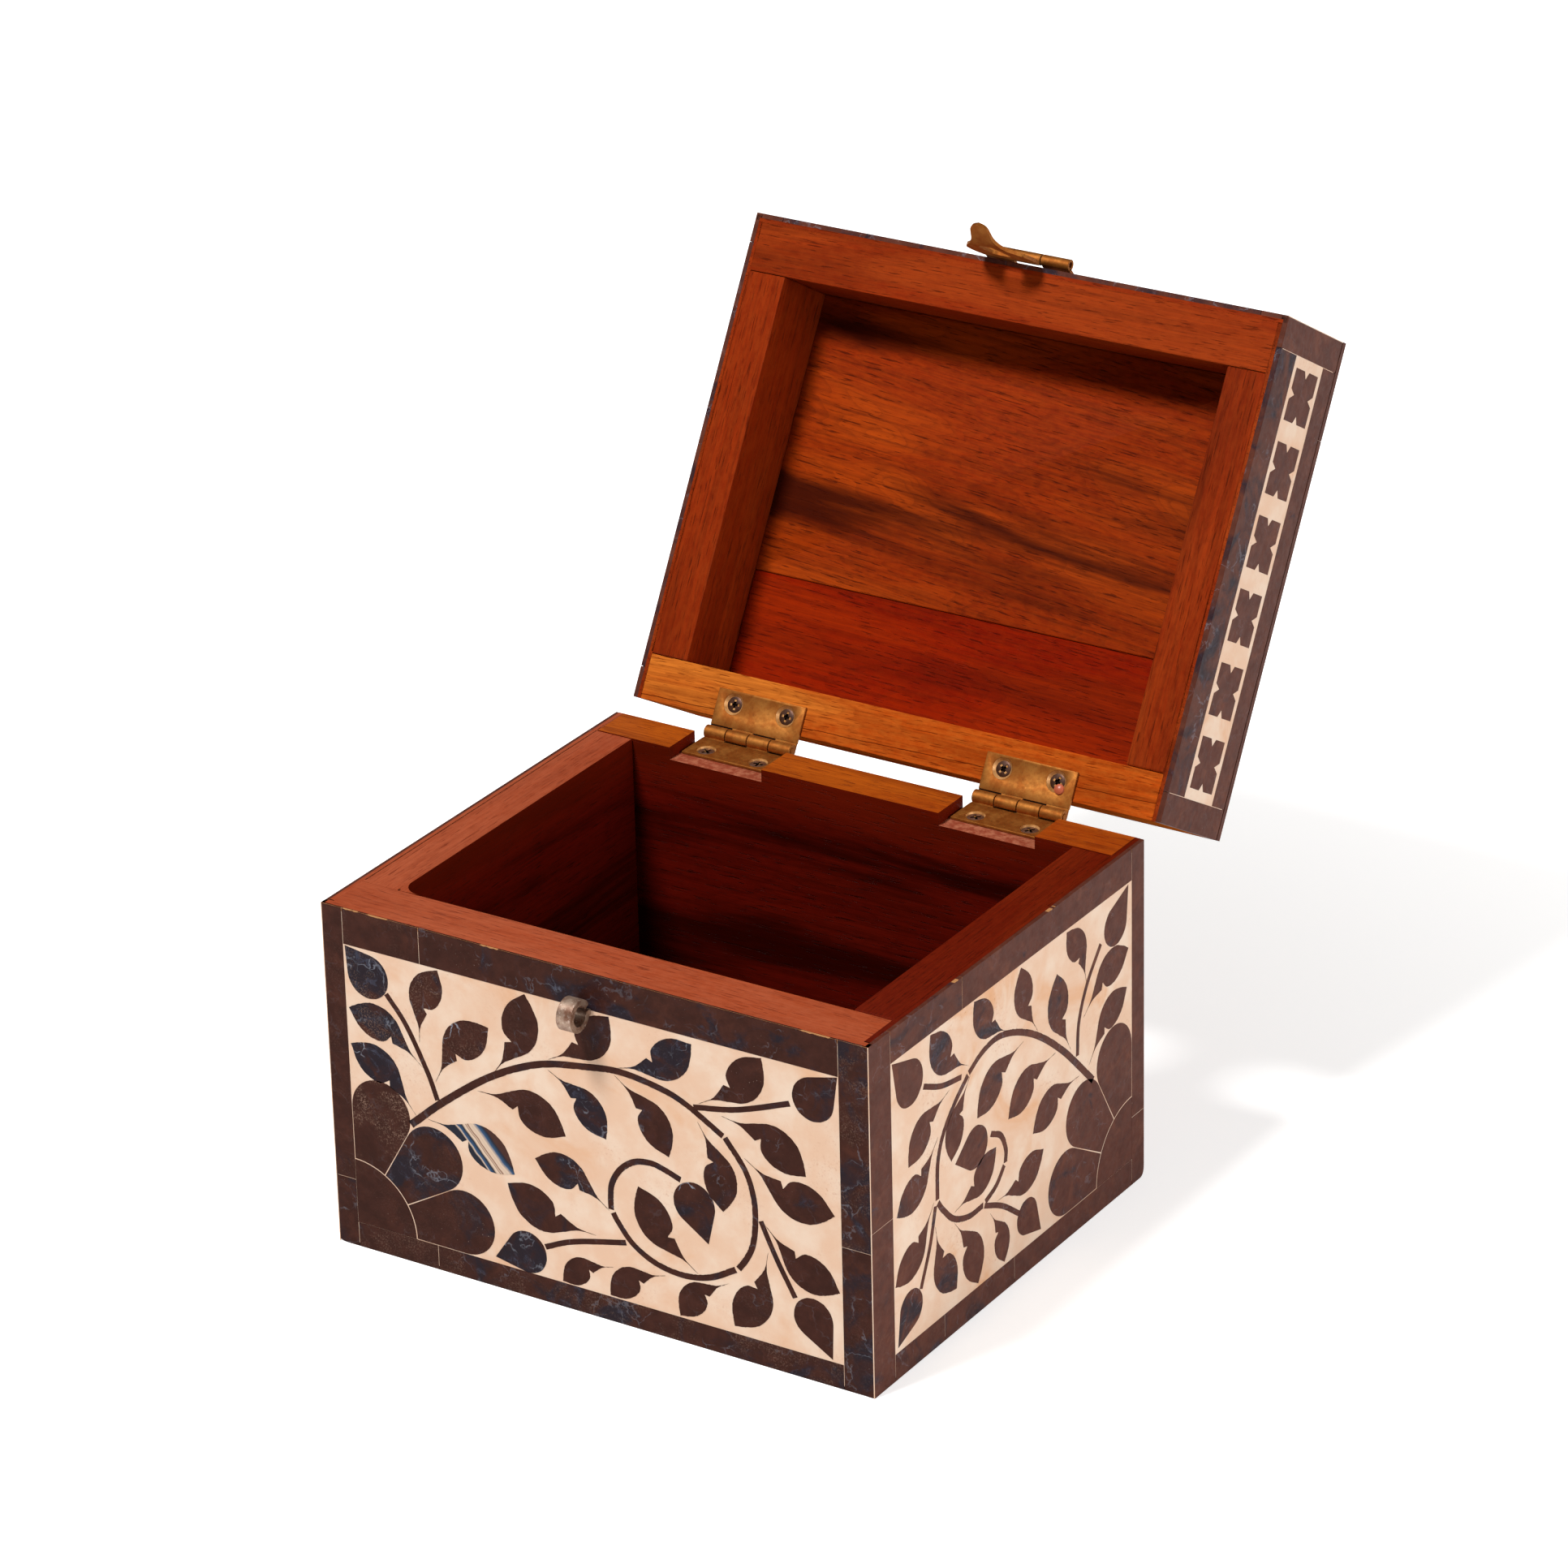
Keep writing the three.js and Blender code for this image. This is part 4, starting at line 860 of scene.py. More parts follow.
def grain(s, at, tones, streaks, figure, seed, slide=0.0):
    """Colour, roughness and height of wood whose grain runs along the vector's X."""
    at = s.node("VectorMath", {0: at, 1: (seed * 31, seed * 17 + slide, seed * 23)}, operation="ADD")
    field = s.noise(s.place((0.009, 0.05, 0.05), vector=at), 1.0, 3.0, 0.5, 0.6)
    rings = s.calc("FRACT", s.times(field, 26.0))
    smoke = s.noise(s.place((0.007, 0.07, 0.07), vector=at), 1.0, 5.0, 0.55, 0.5)
    lines = s.noise(s.place((0.012, 0.75, 0.75), vector=at), 1.0, 4.0, 0.65, 0.4)
    fibre = s.noise(s.place((0.07, 2.4, 2.4), vector=at), 1.0, 4.0, 0.6)
    mottle = s.noise(s.place((0.3, 0.6, 0.6), vector=at), 1.0, 5.0, 0.7)
    pores = s.span(s.noise(s.place((0.16, 2.7, 2.7), vector=at), 1.0, 3.0, 0.5), 0.6, 0.68)
    body = s.mix(s.times(s.span(field, 0.44, 0.64), figure), tones[0], tones[1])
    body = s.mix(s.times(s.span(rings, 0.5, 1.0), figure * 0.3), body, tones[2])
    body = s.mix(s.times(s.span(lines, 0.42, 0.7), 0.2 + figure * 0.35), body, tones[2])
    body = s.mix(s.times(s.span(fibre, 0.35, 0.75), 0.35), body, tones[2])
    body = s.mix(s.times(s.span(mottle, 0.3, 0.7), 0.25), body, tones[1])
    body = s.mix(s.times(s.span(smoke, 0.5, 0.68), streaks), body, tones[2])
    body = s.mix(s.times(pores, 0.75), body, tones[2])
    height = s.calc("SUBTRACT", s.times(fibre, 0.5), s.times(pores, 0.8))
    return body, s.span(fibre, 0.3, 0.7, 0.34, 0.46), height


def wood_material(name, kind, along, in_lid, streaks, figure, seed, inner, lean, gloss, slide):
    """Lacquered wood with its grain along X or Y. Upright faces take the inner tones where they are given,
    with painted light making them lighter towards the rim.
    """
    s = Shader(name, Specular_IOR_Level=0.06 * gloss, Coat_Weight=0.05 * gloss, Coat_Roughness=0.12)
    vector = None
    if in_lid:
        back = LID_PLACE.inverted()
        vector = s.place((1, 1, 1), turn=back.to_euler(), move=back.to_translation())
    turn = (0, 0, lean if along == "X" else QUARTER + lean)
    at = s.place((PER_MM, PER_MM, PER_MM), turn=turn, vector=vector)
    body, rough, height = grain(s, at, wood_tones(kind), streaks, figure, seed, slide)
    if inner:
        facing = s.node("NewGeometry", output=1)
        up = s.span(s.node("SeparateXYZ", {0: facing}, output=2), 0.5, 0.9)
        if kind == "back_rim":
            up = s.calc("MAXIMUM", up, s.span(s.node("SeparateXYZ", {0: facing}, output=1), 0.5, 0.9))
        level = s.node("SeparateXYZ", {0: s.millimetres()}, output=2)
        hidden, _, _ = grain(s, at, wood_tones(inner), INNER_STREAKS, figure, seed)
        # Painted light: the inner walls are drawn lighter towards the rim, where light falls on them.
        lit = s.span(level, BASE_HEIGHT - LIT_BAND, BASE_HEIGHT, 0.0, 0.5)
        hidden = s.mix(lit, hidden, colour("lit_inner"))
        raw = s.mix(s.span(s.noise(at, 0.5, 5.0, 0.7), 0.4, 0.65), colour("raw"), colour("raw_light"))
        body = s.mix(s.span(level, BASE_HEIGHT - WOOD_ROUND * 2, BASE_HEIGHT - WOOD_ROUND), raw, body)
        body = s.mix(up, hidden, body)
    if kind == "gold":
        across = s.node("SeparateXYZ", {0: at}, output=1)
        across = s.calc("ADD", across, s.times(s.noise(at, 0.08, 4.0, 0.6), 1.2))
        away = s.calc("ABSOLUTE", s.calc("SUBTRACT", across, BACK_RAIL_CRACK))
        body = s.mix(s.span(away, 0.05, 0.16, 0.85, 0.0), body, colour("rail_dark"))
    return s.finish(body, rough, s.bump(height, WOOD_BUMP))


def metal_material(name, tone_names, rough_low, rough_high, wear, metallic):
    s = Shader(name, Metallic=metallic)
    tones = [colour(tone) for tone in tone_names]
    at = s.millimetres()
    haze = s.noise(at, 0.35, 4.0, 0.6)
    body = s.mix(s.span(haze, 0.3, 0.7), tones[0], tones[1])
    body = s.mix(s.times(s.span(s.noise(at, 1.3, 5.0, 0.7), 0.52, 0.7), wear), body, tones[2])
    rough = s.span(s.noise(at, 0.9, 4.0), 0.3, 0.7, rough_low, rough_high)
    scratch = s.noise(s.place((0.4, 6.0, 6.0), vector=at), 1.0, 3.0, 0.7)
    return s.finish(body, rough, s.bump(scratch, METAL_BUMP))


def floor_material():
    """A floor that reads as white, also in reflections, and keeps the shadow."""
    s = Shader("floor", Roughness=0.9, Specular_IOR_Level=0.1)
    s.surface.inputs["Base Color"].default_value = colour("floor")
    path = s.tree.nodes.new("ShaderNodeLightPath")
    seen = s.calc("MAXIMUM", s.calc("MAXIMUM", path.outputs["Is Camera Ray"], path.outputs["Is Glossy Ray"]),
                  path.outputs["Is Transmission Ray"])
    s.surface.inputs["Emission Color"].default_value = WHITE
    away = s.node("VectorMath", {0: s.node("NewGeometry")}, output=1, operation="LENGTH")
    lift = s.span(away, FADE_START * MM, FADE_END * MM, FLOOR_LIFT, 1.0)
    s.feed(s.surface.inputs["Emission Strength"], s.times(seen, lift))
    return s.material


# Inlay
def plain_look(rng, blue=0.15, rust=0.0, vein=None):
    return (rng.uniform(0, SEED_SPAN), blue, rust, blue if vein is None else vein)


def strip_spans(low, high, shares, panel_low, panel_size):
    cuts = [low, *[panel_low + share * panel_size for share in shares], high]
    half = TILE_JOINT / 2
    return [(a + (half if i else 0), b - (half if i < len(cuts) - 2 else 0))
            for i, (a, b) in enumerate(zip(cuts, cuts[1:]))]


def box_outline(x0, x1, y0, y1):
    return [Vector((x0, y0)), Vector((x1, y0)), Vector((x1, y1)), Vector((x0, y1))]


def chipped_top(x0, x1, y0, y1, chips, rng):
    """A border tile whose top edge is nibbled between the given places."""
    count = max(2, int((x1 - x0) / CHIP_STEP))
    top = []
    for i in range(count + 1):
        x = x1 - (x1 - x0) * i / count
        worn = any(start < x < end for start, end in chips)
        top.append(Vector((x, y1 - (rng.uniform(0.1, 1) * CHIP_DEPTH if worn else 0))))
    return [Vector((x0, y0)), Vector((x1, y0)), *top]


def border_tiles(tiles, face, panel, rng):
    """The dark strips round a panel: upright strips run the full height, the others between them."""
    half = TILE_JOINT / 2
    shares, looks = TILE_SHARES[face["tiles"]], BORDER_LOOKS[face["tiles"]]
    low, high = GLUE_LINE, SKIN
    x0, x1 = face["trims"][0], face["width"] - face["trims"][1]
    foot = RIM_LIP_PROUD if face["lip"] == "bottom" else 0
    head = face["height"] - (RIM_LIP_PROUD if face["lip"] == "top" else 0)
    for side, (a, b) in {"left": (x0, panel["left"] - half), "right": (panel["right"] + half, x1)}.items():
        spans = strip_spans(foot, head, shares[side], panel["bottom"], panel["height"])
        for index, (span, look) in enumerate(zip(spans, looks[side])):
            outline = box_outline(a, b, *span)
            if index == 0 and side in face["worn"]:
                outline = eased(outline, Vector((a if side == "left" else b, foot)), face["worn"][side])
            tiles.add(outline, low, high, plain_look(rng, *look))
    level_strips = {"bottom": (foot, panel["bottom"] - half), "top": (panel["top"] + half, head)}
    for side, (a, b) in level_strips.items():
        ends = (panel["left"] + half, panel["right"] - half)
        spans = strip_spans(*ends, shares[side], panel["left"], panel["width"])
        for span, look in zip(spans, looks[side]):
            chips = [(face["width"] * start, face["width"] * end) for start, end in face["chips"]]
            outline = chipped_top(*span, a, b, chips, rng) if side == "top" else box_outline(*span, a, b)
            tiles.add(outline, low, high, plain_look(rng, *look))


def floral_tiles(tiles, panel, pattern, rng, agate):
    def at(u, v):
        return Vector((panel["left"] + u * panel["width"], panel["bottom"] + v * panel["height"]))

    low, high = SKIN - TILE_DEPTH, SKIN
    for index, line in enumerate(pattern["vines"]):
        start, end = (VINE_WIDTH, VINE_END_WIDTH) if index == 0 else (RING_WIDTH, RING_WIDTH)
        outline = ribbon_outline([at(*p) for p in line], start, end, rng, SAW_NICK)
        tiles.add(outline, low, high, plain_look(rng, VINE_BLUE))
    for line in pattern["stems"]:
        outline = ribbon_outline([at(*p) for p in line], STEM_WIDTH, STEM_WIDTH, rng, SAW_NICK / 2)
        tiles.add(outline, low, high - GROUND_DROP / 5, plain_look(rng, STEM_BLUE))
    for index, (u0, v0, u1, v1, side, blue, rust) in enumerate(pattern["leaves"]):
        outline = wobbled(leaf_outline(at(u0, v0), at(u1, v1), side), rng)
        sheet = agate if agate and index == AGATE_LEAF else tiles
        vein = LEAF_VEIN if pattern["name"] == "front" and index in STREAKED_LEAVES else None
        sheet.add(outline, low, high, plain_look(rng, blue, rust, vein))
    for index, (u0, v0, u1, v1, half_width, blue, rust) in enumerate(pattern["buds"]):
        vein = BUD_VEIN if pattern["name"] == "front" and index == VEINED_BUD else None
        outline = wobbled(bud_outline(at(u0, v0), at(u1, v1), half_width), rng)
        tiles.add(outline, low, high, plain_look(rng, blue, rust, vein))
    outlines = flower_outlines(panel, pattern["way"])
    for outline, look in zip(outlines, PETAL_LOOKS[pattern["name"]]):
        tiles.add(outline, low, high, plain_look(rng, *look))


def cross_tiles(tiles, panel, count, rng):
    pitch = panel["width"] / count
    for index in range(count):
        centre = Vector((panel["left"] + pitch * (index + 0.5), panel["bottom"] + panel["height"] / 2))
        tiles.add(wobbled(cross_outline(centre), rng), SKIN - TILE_DEPTH, SKIN, plain_look(rng, CROSS_BLUE))


PATTERNS = {
    "front": {"name": "front", "leaves": FRONT_LEAF_SHARES, "buds": FRONT_BUD_SHARES,
              "vines": FRONT_VINE_SHARES, "stems": FRONT_STEM_SHARES, "way": 1},
    "side": {"name": "side", "leaves": SIDE_LEAF_SHARES, "buds": SIDE_BUD_SHARES, "vines": SIDE_VINE_SHARES,
             "stems": SIDE_STEM_SHARES, "way": -1},
}


def inlaid_face(name, face, place, body, made):
    """One veneered face: border tiles, cream ground and dark tiles let into it."""
    rng = random.Random(name)
    panel = panel_of(face["width"], face["height"], face["border"])
    # Faces with the side shade take dark tiles painted lighter, as light on those faces.
    tile, cream = made["tile_" + face["shade"]], made["cream_" + face["shade"]]
    border, tiles = Tiles(), Tiles()
    agate = Tiles() if face.get("agate") else None
    border_tiles(border, face, panel, rng)
    if face["pattern"] == "cross":
        cross_tiles(tiles, panel, face["crosses"], rng)
    else:
        floral_tiles(tiles, panel, PATTERNS[face["pattern"]], rng, agate)
    left, right = face["trims"][0] + EDGE_MARGIN, face["width"] - face["trims"][1] - EDGE_MARGIN
    sheet = box_outline(left, right, EDGE_MARGIN * 3, face["height"] - EDGE_MARGIN * 3)
    low, high = GLUE_LINE, SKIN - GROUND_DROP
    if face["chips"]:
        edge = box_outline(left, right, face["height"] - EDGE_MARGIN * 3, face["height"] - EDGE_MARGIN / 3)
        slab(name + "_worn_edge", edge, low, high, place, body, made["worn_edge"], "cream_ground")
    strips = border.piece(name + "_border_tiles", place, body, tile, "dark_inlay", [name + "_border"])
    worn_edges(strips, face)
    slab(name + "_ground", sheet, low, high, place, body, cream, "cream_ground", [name + "_cream_ground"])
    tiles.piece(name + "_inlay_tiles", place, body, tile, "dark_inlay", [name + "_leaf_inlay"])
    if agate:
        agate.piece(name + "_banded_leaf", place, body, made["agate"], "dark_inlay")


def base_faces(made):
    butt = CORNER_FILLER
    front = {"width": BOX_WIDTH, "height": BASE_HEIGHT, "border": BORDERS["front"], "trims": (butt, butt),
             "pattern": "front", "tiles": "front", "chips": FRONT_CHIP_SHARES, "agate": True,
             "shade": "front", "lip": "top", "worn": {"left": FRONT_CORNER_WEAR}}
    side = {"width": BOX_DEPTH, "height": BASE_HEIGHT, "border": BORDERS["side"], "pattern": "side",
            "tiles": "side", "chips": SIDE_CHIP_SHARES, "shade": "side", "lip": "top"}
    wood_x, wood_front = BOX_WIDTH / 2 - SKIN, SKIN - BOX_DEPTH / 2
    inlaid_face("front", front, standing((-BOX_WIDTH / 2, wood_front, 0), 0), "base", made)
    right = {**side, "trims": (butt, 0), "worn": {"right": REAR_CORNER_WEAR}}
    inlaid_face("right", right, standing((wood_x, -BOX_DEPTH / 2, 0), 1), "base", made)
    left = {**side, "trims": (0, butt), "worn": {"right": FRONT_CORNER_WEAR}, "chips": []}
    inlaid_face("left", left, standing((-wood_x, BOX_DEPTH / 2, 0), -1), "base", made)


def corner_filler(name, low, high, place, body, made):
    """The thin pale line where the front's veneer meets a side's."""
    edge = CORNER_FILLER / 4 - BOX_DEPTH / 2
    outside = BOX_WIDTH / 2 - CORNER_FILLER / 4
    inside = outside - CORNER_FILLER * 2
    for side, (x0, x1) in {"left": (-outside, -inside), "right": (inside, outside)}.items():
        line = box_outline(x0, x1, edge, edge + CORNER_FILLER * 2)
        slab(f"{name}_{side}_corner_line", line, low, high, place, body, made["cream_front"], "cream_ground")


def lid_faces(made):
    height = LID_HEIGHT - SKIN - GLUE_LINE
    butt = CORNER_FILLER
    plain = {"chips": [], "worn": {}, "lip": "bottom", "shade": "side"}
    front = {**plain, "width": BOX_WIDTH, "height": height, "border": BORDERS["lid"], "trims": (butt, butt),
             "pattern": "cross", "crosses": FRONT_CROSSES, "tiles": "lid_side"}
    side = {**plain, "width": BOX_DEPTH, "height": height, "border": BORDERS["lid"], "pattern": "cross",
            "crosses": SIDE_CROSSES, "tiles": "lid_side"}
    top = {**plain, "width": BOX_WIDTH, "height": BOX_DEPTH, "border": BORDERS["lid_top"], "trims": (0, 0),
           "pattern": "side", "tiles": "side", "lip": "none"}
    wood_x, wood_front = BOX_WIDTH / 2 - SKIN, SKIN - BOX_DEPTH / 2
    crown = Matrix.Translation(Vector((-BOX_WIDTH / 2, -BOX_DEPTH / 2, LID_WOOD_TOP)) * MM)
    inlaid_face("lid_top", top, LID_PLACE @ crown, "lid", made)
    ahead = standing((-BOX_WIDTH / 2, wood_front, LID_BOTTOM), 0)
    inlaid_face("lid_front", front, LID_PLACE @ ahead, "lid", made)
    right = standing((wood_x, -BOX_DEPTH / 2, LID_BOTTOM), 1)
    inlaid_face("lid_right", {**side, "trims": (butt, 0)}, LID_PLACE @ right, "lid", made)
    left = standing((-wood_x, BOX_DEPTH / 2, LID_BOTTOM), -1)
    inlaid_face("lid_left", {**side, "trims": (0, butt)}, LID_PLACE @ left, "lid", made)


# Wood
def wood_tones(kind):
    return [colour(kind), colour(kind + "_light"), colour(kind + "_dark")]


def dress_wood(made):
    for seed, (node, (kind, along, streaks, figure, inner, lean)) in enumerate(BOARDS.items()):
        lid = node.startswith("lid")
        gloss = 0.0 if node == "lid_back_rail" else LID_GLOSS if lid else 1.0
        slide = GRAIN_SLIDE if node == "lid_front_board" else 0.0
        looks = (kind, along, lid, streaks, figure, seed, inner, lean, gloss, slide)
        made[node] = wood_material(node + "_wood", *looks)
        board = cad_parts[node]
        board.data.materials.clear()
        board.data.materials.append(made[node])
        rounded(board, WOOD_ROUND)


def rim_lips(made):
    """Thin wooden laps that hide the inner part of the veneer's top edge."""
    side_x, front_y, back = BOX_WIDTH / 2 - SKIN, BOX_DEPTH / 2 - SKIN, BOX_DEPTH / 2
    base_walls = ["front_wall", "left_wall", "right_wall"]
    lid_rails = ["lid_front_rail", "lid_left_rail", "lid_right_rail"]
    rims = [
        ("", base_walls, BASE_HEIGHT - RIM_LIP_DEPTH, HERE, "base"),
        ("lid_", lid_rails, LID_BOTTOM, LID_PLACE, "lid"),
    ]
    for name, walls, level, place, body in rims:
        long = side_x + RIM_LIPS[name + "side"]
        front = -front_y - RIM_LIPS[name + "front"]
        spans = [
            (-long, long, front, WOOD_ROUND - front_y),
            (-long, WOOD_ROUND - side_x, -front_y, back),
            (side_x - WOOD_ROUND, long, -front_y, back),
        ]
        for wall, span in zip(walls, spans):
            ends = (level, level + RIM_LIP_DEPTH)
            lap = slab(wall + "_lap", box_outline(*span), *ends, place, body, made[wall], "carcass_wood")
            rounded(lap, RIM_LIP_PROUD)


def corner_joints(made):
    """The filled joint between the front and left walls, and the fillet inside it."""
    seam = SKIN + FRONT_WALL - BOX_DEPTH / 2
    outside = BOX_WIDTH / 2 - SKIN
    inside = outside - SIDE_WALL
    low, high = BASE_HEIGHT - WOOD_ROUND * 2, BASE_HEIGHT + JOINT_PROUD
    wood = made["left_wall"]
    fill = box_outline(-outside, -inside, seam - WOOD_ROUND, seam + WOOD_ROUND)
    slab("left_wall_joint", fill, low, high, HERE, "base", wood, "carcass_wood")
    corner = Vector((-inside - WOOD_ROUND, seam - WOOD_ROUND))
    centre = Vector((CORNER_FILLET - inside, seam + CORNER_FILLET))
    fillet = [corner, *arc(centre, CORNER_FILLET, -QUARTER, -2 * QUARTER, ARC_STEPS)]
    smooth(slab("inner_corner_fillet", fillet, low - LIT_BAND, high, HERE, "base", wood, "carcass_wood"))


# Hinges
def circle(centre, radius, sides=ROUND_SIDES):
    return arc(centre, radius, 0, 2 * math.pi, sides)[:-1]


def knuckle_outline(side, relief):
    """The barrel with the tab that runs into the leaf, seen along the pin."""
    face = side * BARREL_RADIUS
    inner = face - side * LEAF_THICKNESS
    tab = -BARREL_RADIUS - 2 * relief
    start = side * QUARTER
    meet = math.acos(abs(inner) / BARREL_RADIUS)
    sweep = arc(Vector((0, 0)), BARREL_RADIUS, start, start - side * (2 * math.pi - meet), ARC_STEPS * 2)
    return [Vector((tab, face)), *sweep, Vector((tab, inner))]


def hinge_leaf(owner, side):
    """A leaf about its own pin: Y towards the back, Z up, X along the pin."""
    half, relief = HINGE_LENGTH / 2, LEAF_RELIEF[owner]
    face, inner = side * BARREL_RADIUS, side * (BARREL_RADIUS - LEAF_THICKNESS)
    near = -BARREL_RADIUS - relief
    outline = box_outline(-half, half, -LEAF_REACH, near)
    holes = [circle(Vector((x, -SCREW_REACH)), SEAT_RADIUS[owner]) for x in (-SCREW_SPREAD, SCREW_SPREAD)]
    parts = [plate_with_holes(outline, holes, min(face, inner), max(face, inner))]
    for low, high in knuckle_spans(0 if side < 0 else 1):
        parts.append(rod(knuckle_outline(side, relief), low, high))
    return merged(parts)


def turned_over(side):
    """Turns a part over where its leaf lies face down."""
    return HERE if side < 0 else Matrix.Rotation(math.pi, 4, "X")


def screw_seats(owner, side):
    """The cones cut for the screws, painted bright as a highlight."""
    inner = side * (BARREL_RADIUS - LEAF_THICKNESS)
    seat = [(SCREW_SHANK, -LEAF_THICKNESS), (SEAT_FOOT, -LEAF_THICKNESS), (SEAT_RADIUS[owner], -SEAT_DROP),
            (SEAT_RADIUS[owner], -LEAF_THICKNESS - GLUE_LINE), (SCREW_SHANK, -LEAF_THICKNESS - GLUE_LINE),
            (SCREW_SHANK, -LEAF_THICKNESS)]
    spots = [Matrix.Translation(Vector((x, -SCREW_REACH, inner))) for x in (-SCREW_SPREAD, SCREW_SPREAD)]
    return merged([moved(lathe(seat), spot @ turned_over(side)) for spot in spots])


def knuckle_spans(first):
    pitch, half = HINGE_LENGTH / KNUCKLES, HINGE_LENGTH / 2
    lows = [pitch * index - half + KNUCKLE_GAP / 2 for index in range(first, KNUCKLES, 2)]
    return [(low, low + pitch - KNUCKLE_GAP) for low in lows]


def slot_shadows(owner, side):
    """Dark bars that close the slots where a leaf clears the other leaf's knuckles: painted shade in the
    gaps.
    """
    reach = BARREL_RADIUS + BAR_CLEARANCE
    near = -BARREL_RADIUS - LEAF_RELIEF[owner]
    level = BARREL_RADIUS - LEAF_THICKNESS * BAR_SHARE
    ends = [side * (math.pi - math.asin(rise / reach)) for rise in (BARREL_RADIUS, level)]
    curve = arc(Vector((0, 0)), reach, *ends, CURVE_STEPS)
    outline = [Vector((near, side * BARREL_RADIUS)), *curve, Vector((near, side * level))]
    return merged([rod(outline, low, high) for low, high in knuckle_spans(1 if side < 0 else 0)])


def screw_head():
    """A countersunk head with its face at zero and its shank pointing down."""
    profile = [(0, 0), (SCREW_HEAD * SCREW_FACE_SHARE, 0), (SCREW_HEAD, -SCREW_RIM),
               (SCREW_SHANK, -SCREW_CONE), (SCREW_SHANK, -SCREW_LENGTH), (0, -SCREW_LENGTH - SCREW_SHANK)]
    return lathe(list(reversed(profile)))


def make_screw(name, place, body, material, dark, twist, stands_for):
    """A screw with a cross recess cut in its head, the recess painted dark as shade."""
    piece = new_piece(name, *screw_head(), place, body, material, "screw_steel", [stands_for])
    smooth(piece)
    bar = Tiles()
    arm = box_outline(-RECESS_LONG, RECESS_LONG, -RECESS_THIN, RECESS_THIN)
    bar.add(arm, -RECESS_DEEP, RECESS_DEEP, NO_LOOK)
    cutters = []
    for turn in (0, QUARTER):
        cutter = new_object("recess", new_mesh("recess", bar.verts, bar.faces))
        cutter.matrix_world = place @ Matrix.Rotation(turn + twist, 4, "Z")
        cut = piece.modifiers.new("recess", "BOOLEAN")
        cut.object = cutter
        cut.operation = "DIFFERENCE"
        cut.solver = "EXACT"
        cutters.append(cutter)
    bake(piece)
    for cutter in cutters:
        bpy.data.objects.remove(cutter)
    # Painted shade: the faces inside the cross recess take the dark recess colour.
    piece.data.materials.append(dark)
    deepest = -RECESS_DEEP * MM * RECESS_REACH_SHARE
    for face in piece.data.polygons:
        if face.center.xy.length / MM < RECESS_LONG and deepest < face.center.z < -WELD_GAP * MM:
            face.material_index = 1
    return piece


def bake(piece):
    """Applies a piece's modifiers to its mesh."""
    bpy.context.view_layer.update()
    done = bpy.data.meshes.new_from_object(piece.evaluated_get(bpy.context.evaluated_depsgraph_get()))
    old = piece.data
    piece.modifiers.clear()
    piece.data = done
    bpy.data.meshes.remove(old)


def hinge_screws(side, owner, way, place, made, rng):
    metal = made["screw"] if owner == "lid" else made["pale_screw"]
    level = way * (BARREL_RADIUS - LEAF_THICKNESS + SCREW_SINK[owner])
    for end, offset in (("left", -SCREW_SPREAD), ("right", SCREW_SPREAD)):
        spot = place @ Matrix.Translation(Vector((offset, -SCREW_REACH, level)) * MM) @ turned_over(way)
        name = f"{side}_hinge_{end}_{owner}_screw"
        make_screw(name + "_head", spot, owner, metal, made["recess"], rng.uniform(0, QUARTER), name)


def glue_drop(axis, made):
    """The drop of glue on the right hinge's lid leaf."""
    drop = Matrix.Translation(Vector((*GLUE_DROP_PLACE, BARREL_RADIUS - LEAF_THICKNESS)) * MM)
    spot = LID_PLACE @ axis @ drop @ turned_over(1)
    smooth(new_piece("glue_drop", *lathe(GLUE_DROP), spot, "lid", made["glue"], "cream_ground"))


def hinge(side, axis, made, rng):
    for owner, way, frame_place in (("base", -1, HERE), ("lid", 1, LID_PLACE)):
        place = frame_place @ axis
        name = f"{side}_hinge_{owner}"
        plate = hinge_leaf(owner, way)
        leaf = new_piece(name + "_plate", *plate, place, owner, made["brass"], "brass", [name + "_leaf"])
        smooth(rounded(leaf, METAL_ROUND))
        # Painted shade: dark bars close the gaps between the knuckles.
        new_piece(name + "_slot_shade", *slot_shadows(owner, way), place, owner, made["recess"], "brass")
        # Painted highlight on the screw seats.
        smooth(new_piece(name + "_seats", *screw_seats(owner, way), place, owner, made["seat"], "brass"))
        hinge_screws(side, owner, way, place, made, rng)
    if side == "right":
        glue_drop(axis, made)
    end = HINGE_LENGTH / 2 + METAL_ROUND
    pin = rod(circle(Vector((0, 0)), HINGE_PIN_RADIUS), -end, end)
    name = f"{side}_hinge_steel_pin"
    made_pin = new_piece(name, *pin, axis, "base", made["brass"], "brass", [f"{side}_hinge_pin"])
    smooth(rounded(made_pin, METAL_ROUND))


def hinges(made):
    rng = random.Random("hinges")
    for side, x in HINGE_CENTRES.items():
        hinge(side, Matrix.Translation(Vector((x, HINGE_Y, HINGE_Z)) * MM), made, rng)


# Catch
def staple(made):
    """A strip rolled into an eye, its end lapped over the top, and its leg let into the wall."""
    middle_radius = STAPLE_RADIUS - STAPLE_STRIP / 2
    turns = [math.radians(a) for a in range(STAPLE_CURL[0], STAPLE_CURL[1], STAPLE_CURL[2])]
    curl = [Vector((math.cos(a), math.sin(a))) * middle_radius for a in turns]
    root = curl[0].y
    leg = [Vector((STAPLE_STANDOFF + STAPLE_LEG, root)), Vector((STAPLE_STANDOFF, root))]
    outline = strip_outline([*leg, *curl], STAPLE_STRIP)
    half = STAPLE_WIDTH / 2
    place = Matrix.Translation(Vector((CATCH_X, -BOX_DEPTH / 2 - STAPLE_STANDOFF, STAPLE_HEIGHT)) * MM)
    strip = rod(outline, -half, half)
    piece = new_piece("rolled_staple", *strip, place, "base", made["steel"], "steel", ["catch_staple"])
    smooth(rounded(piece, METAL_ROUND * 2))


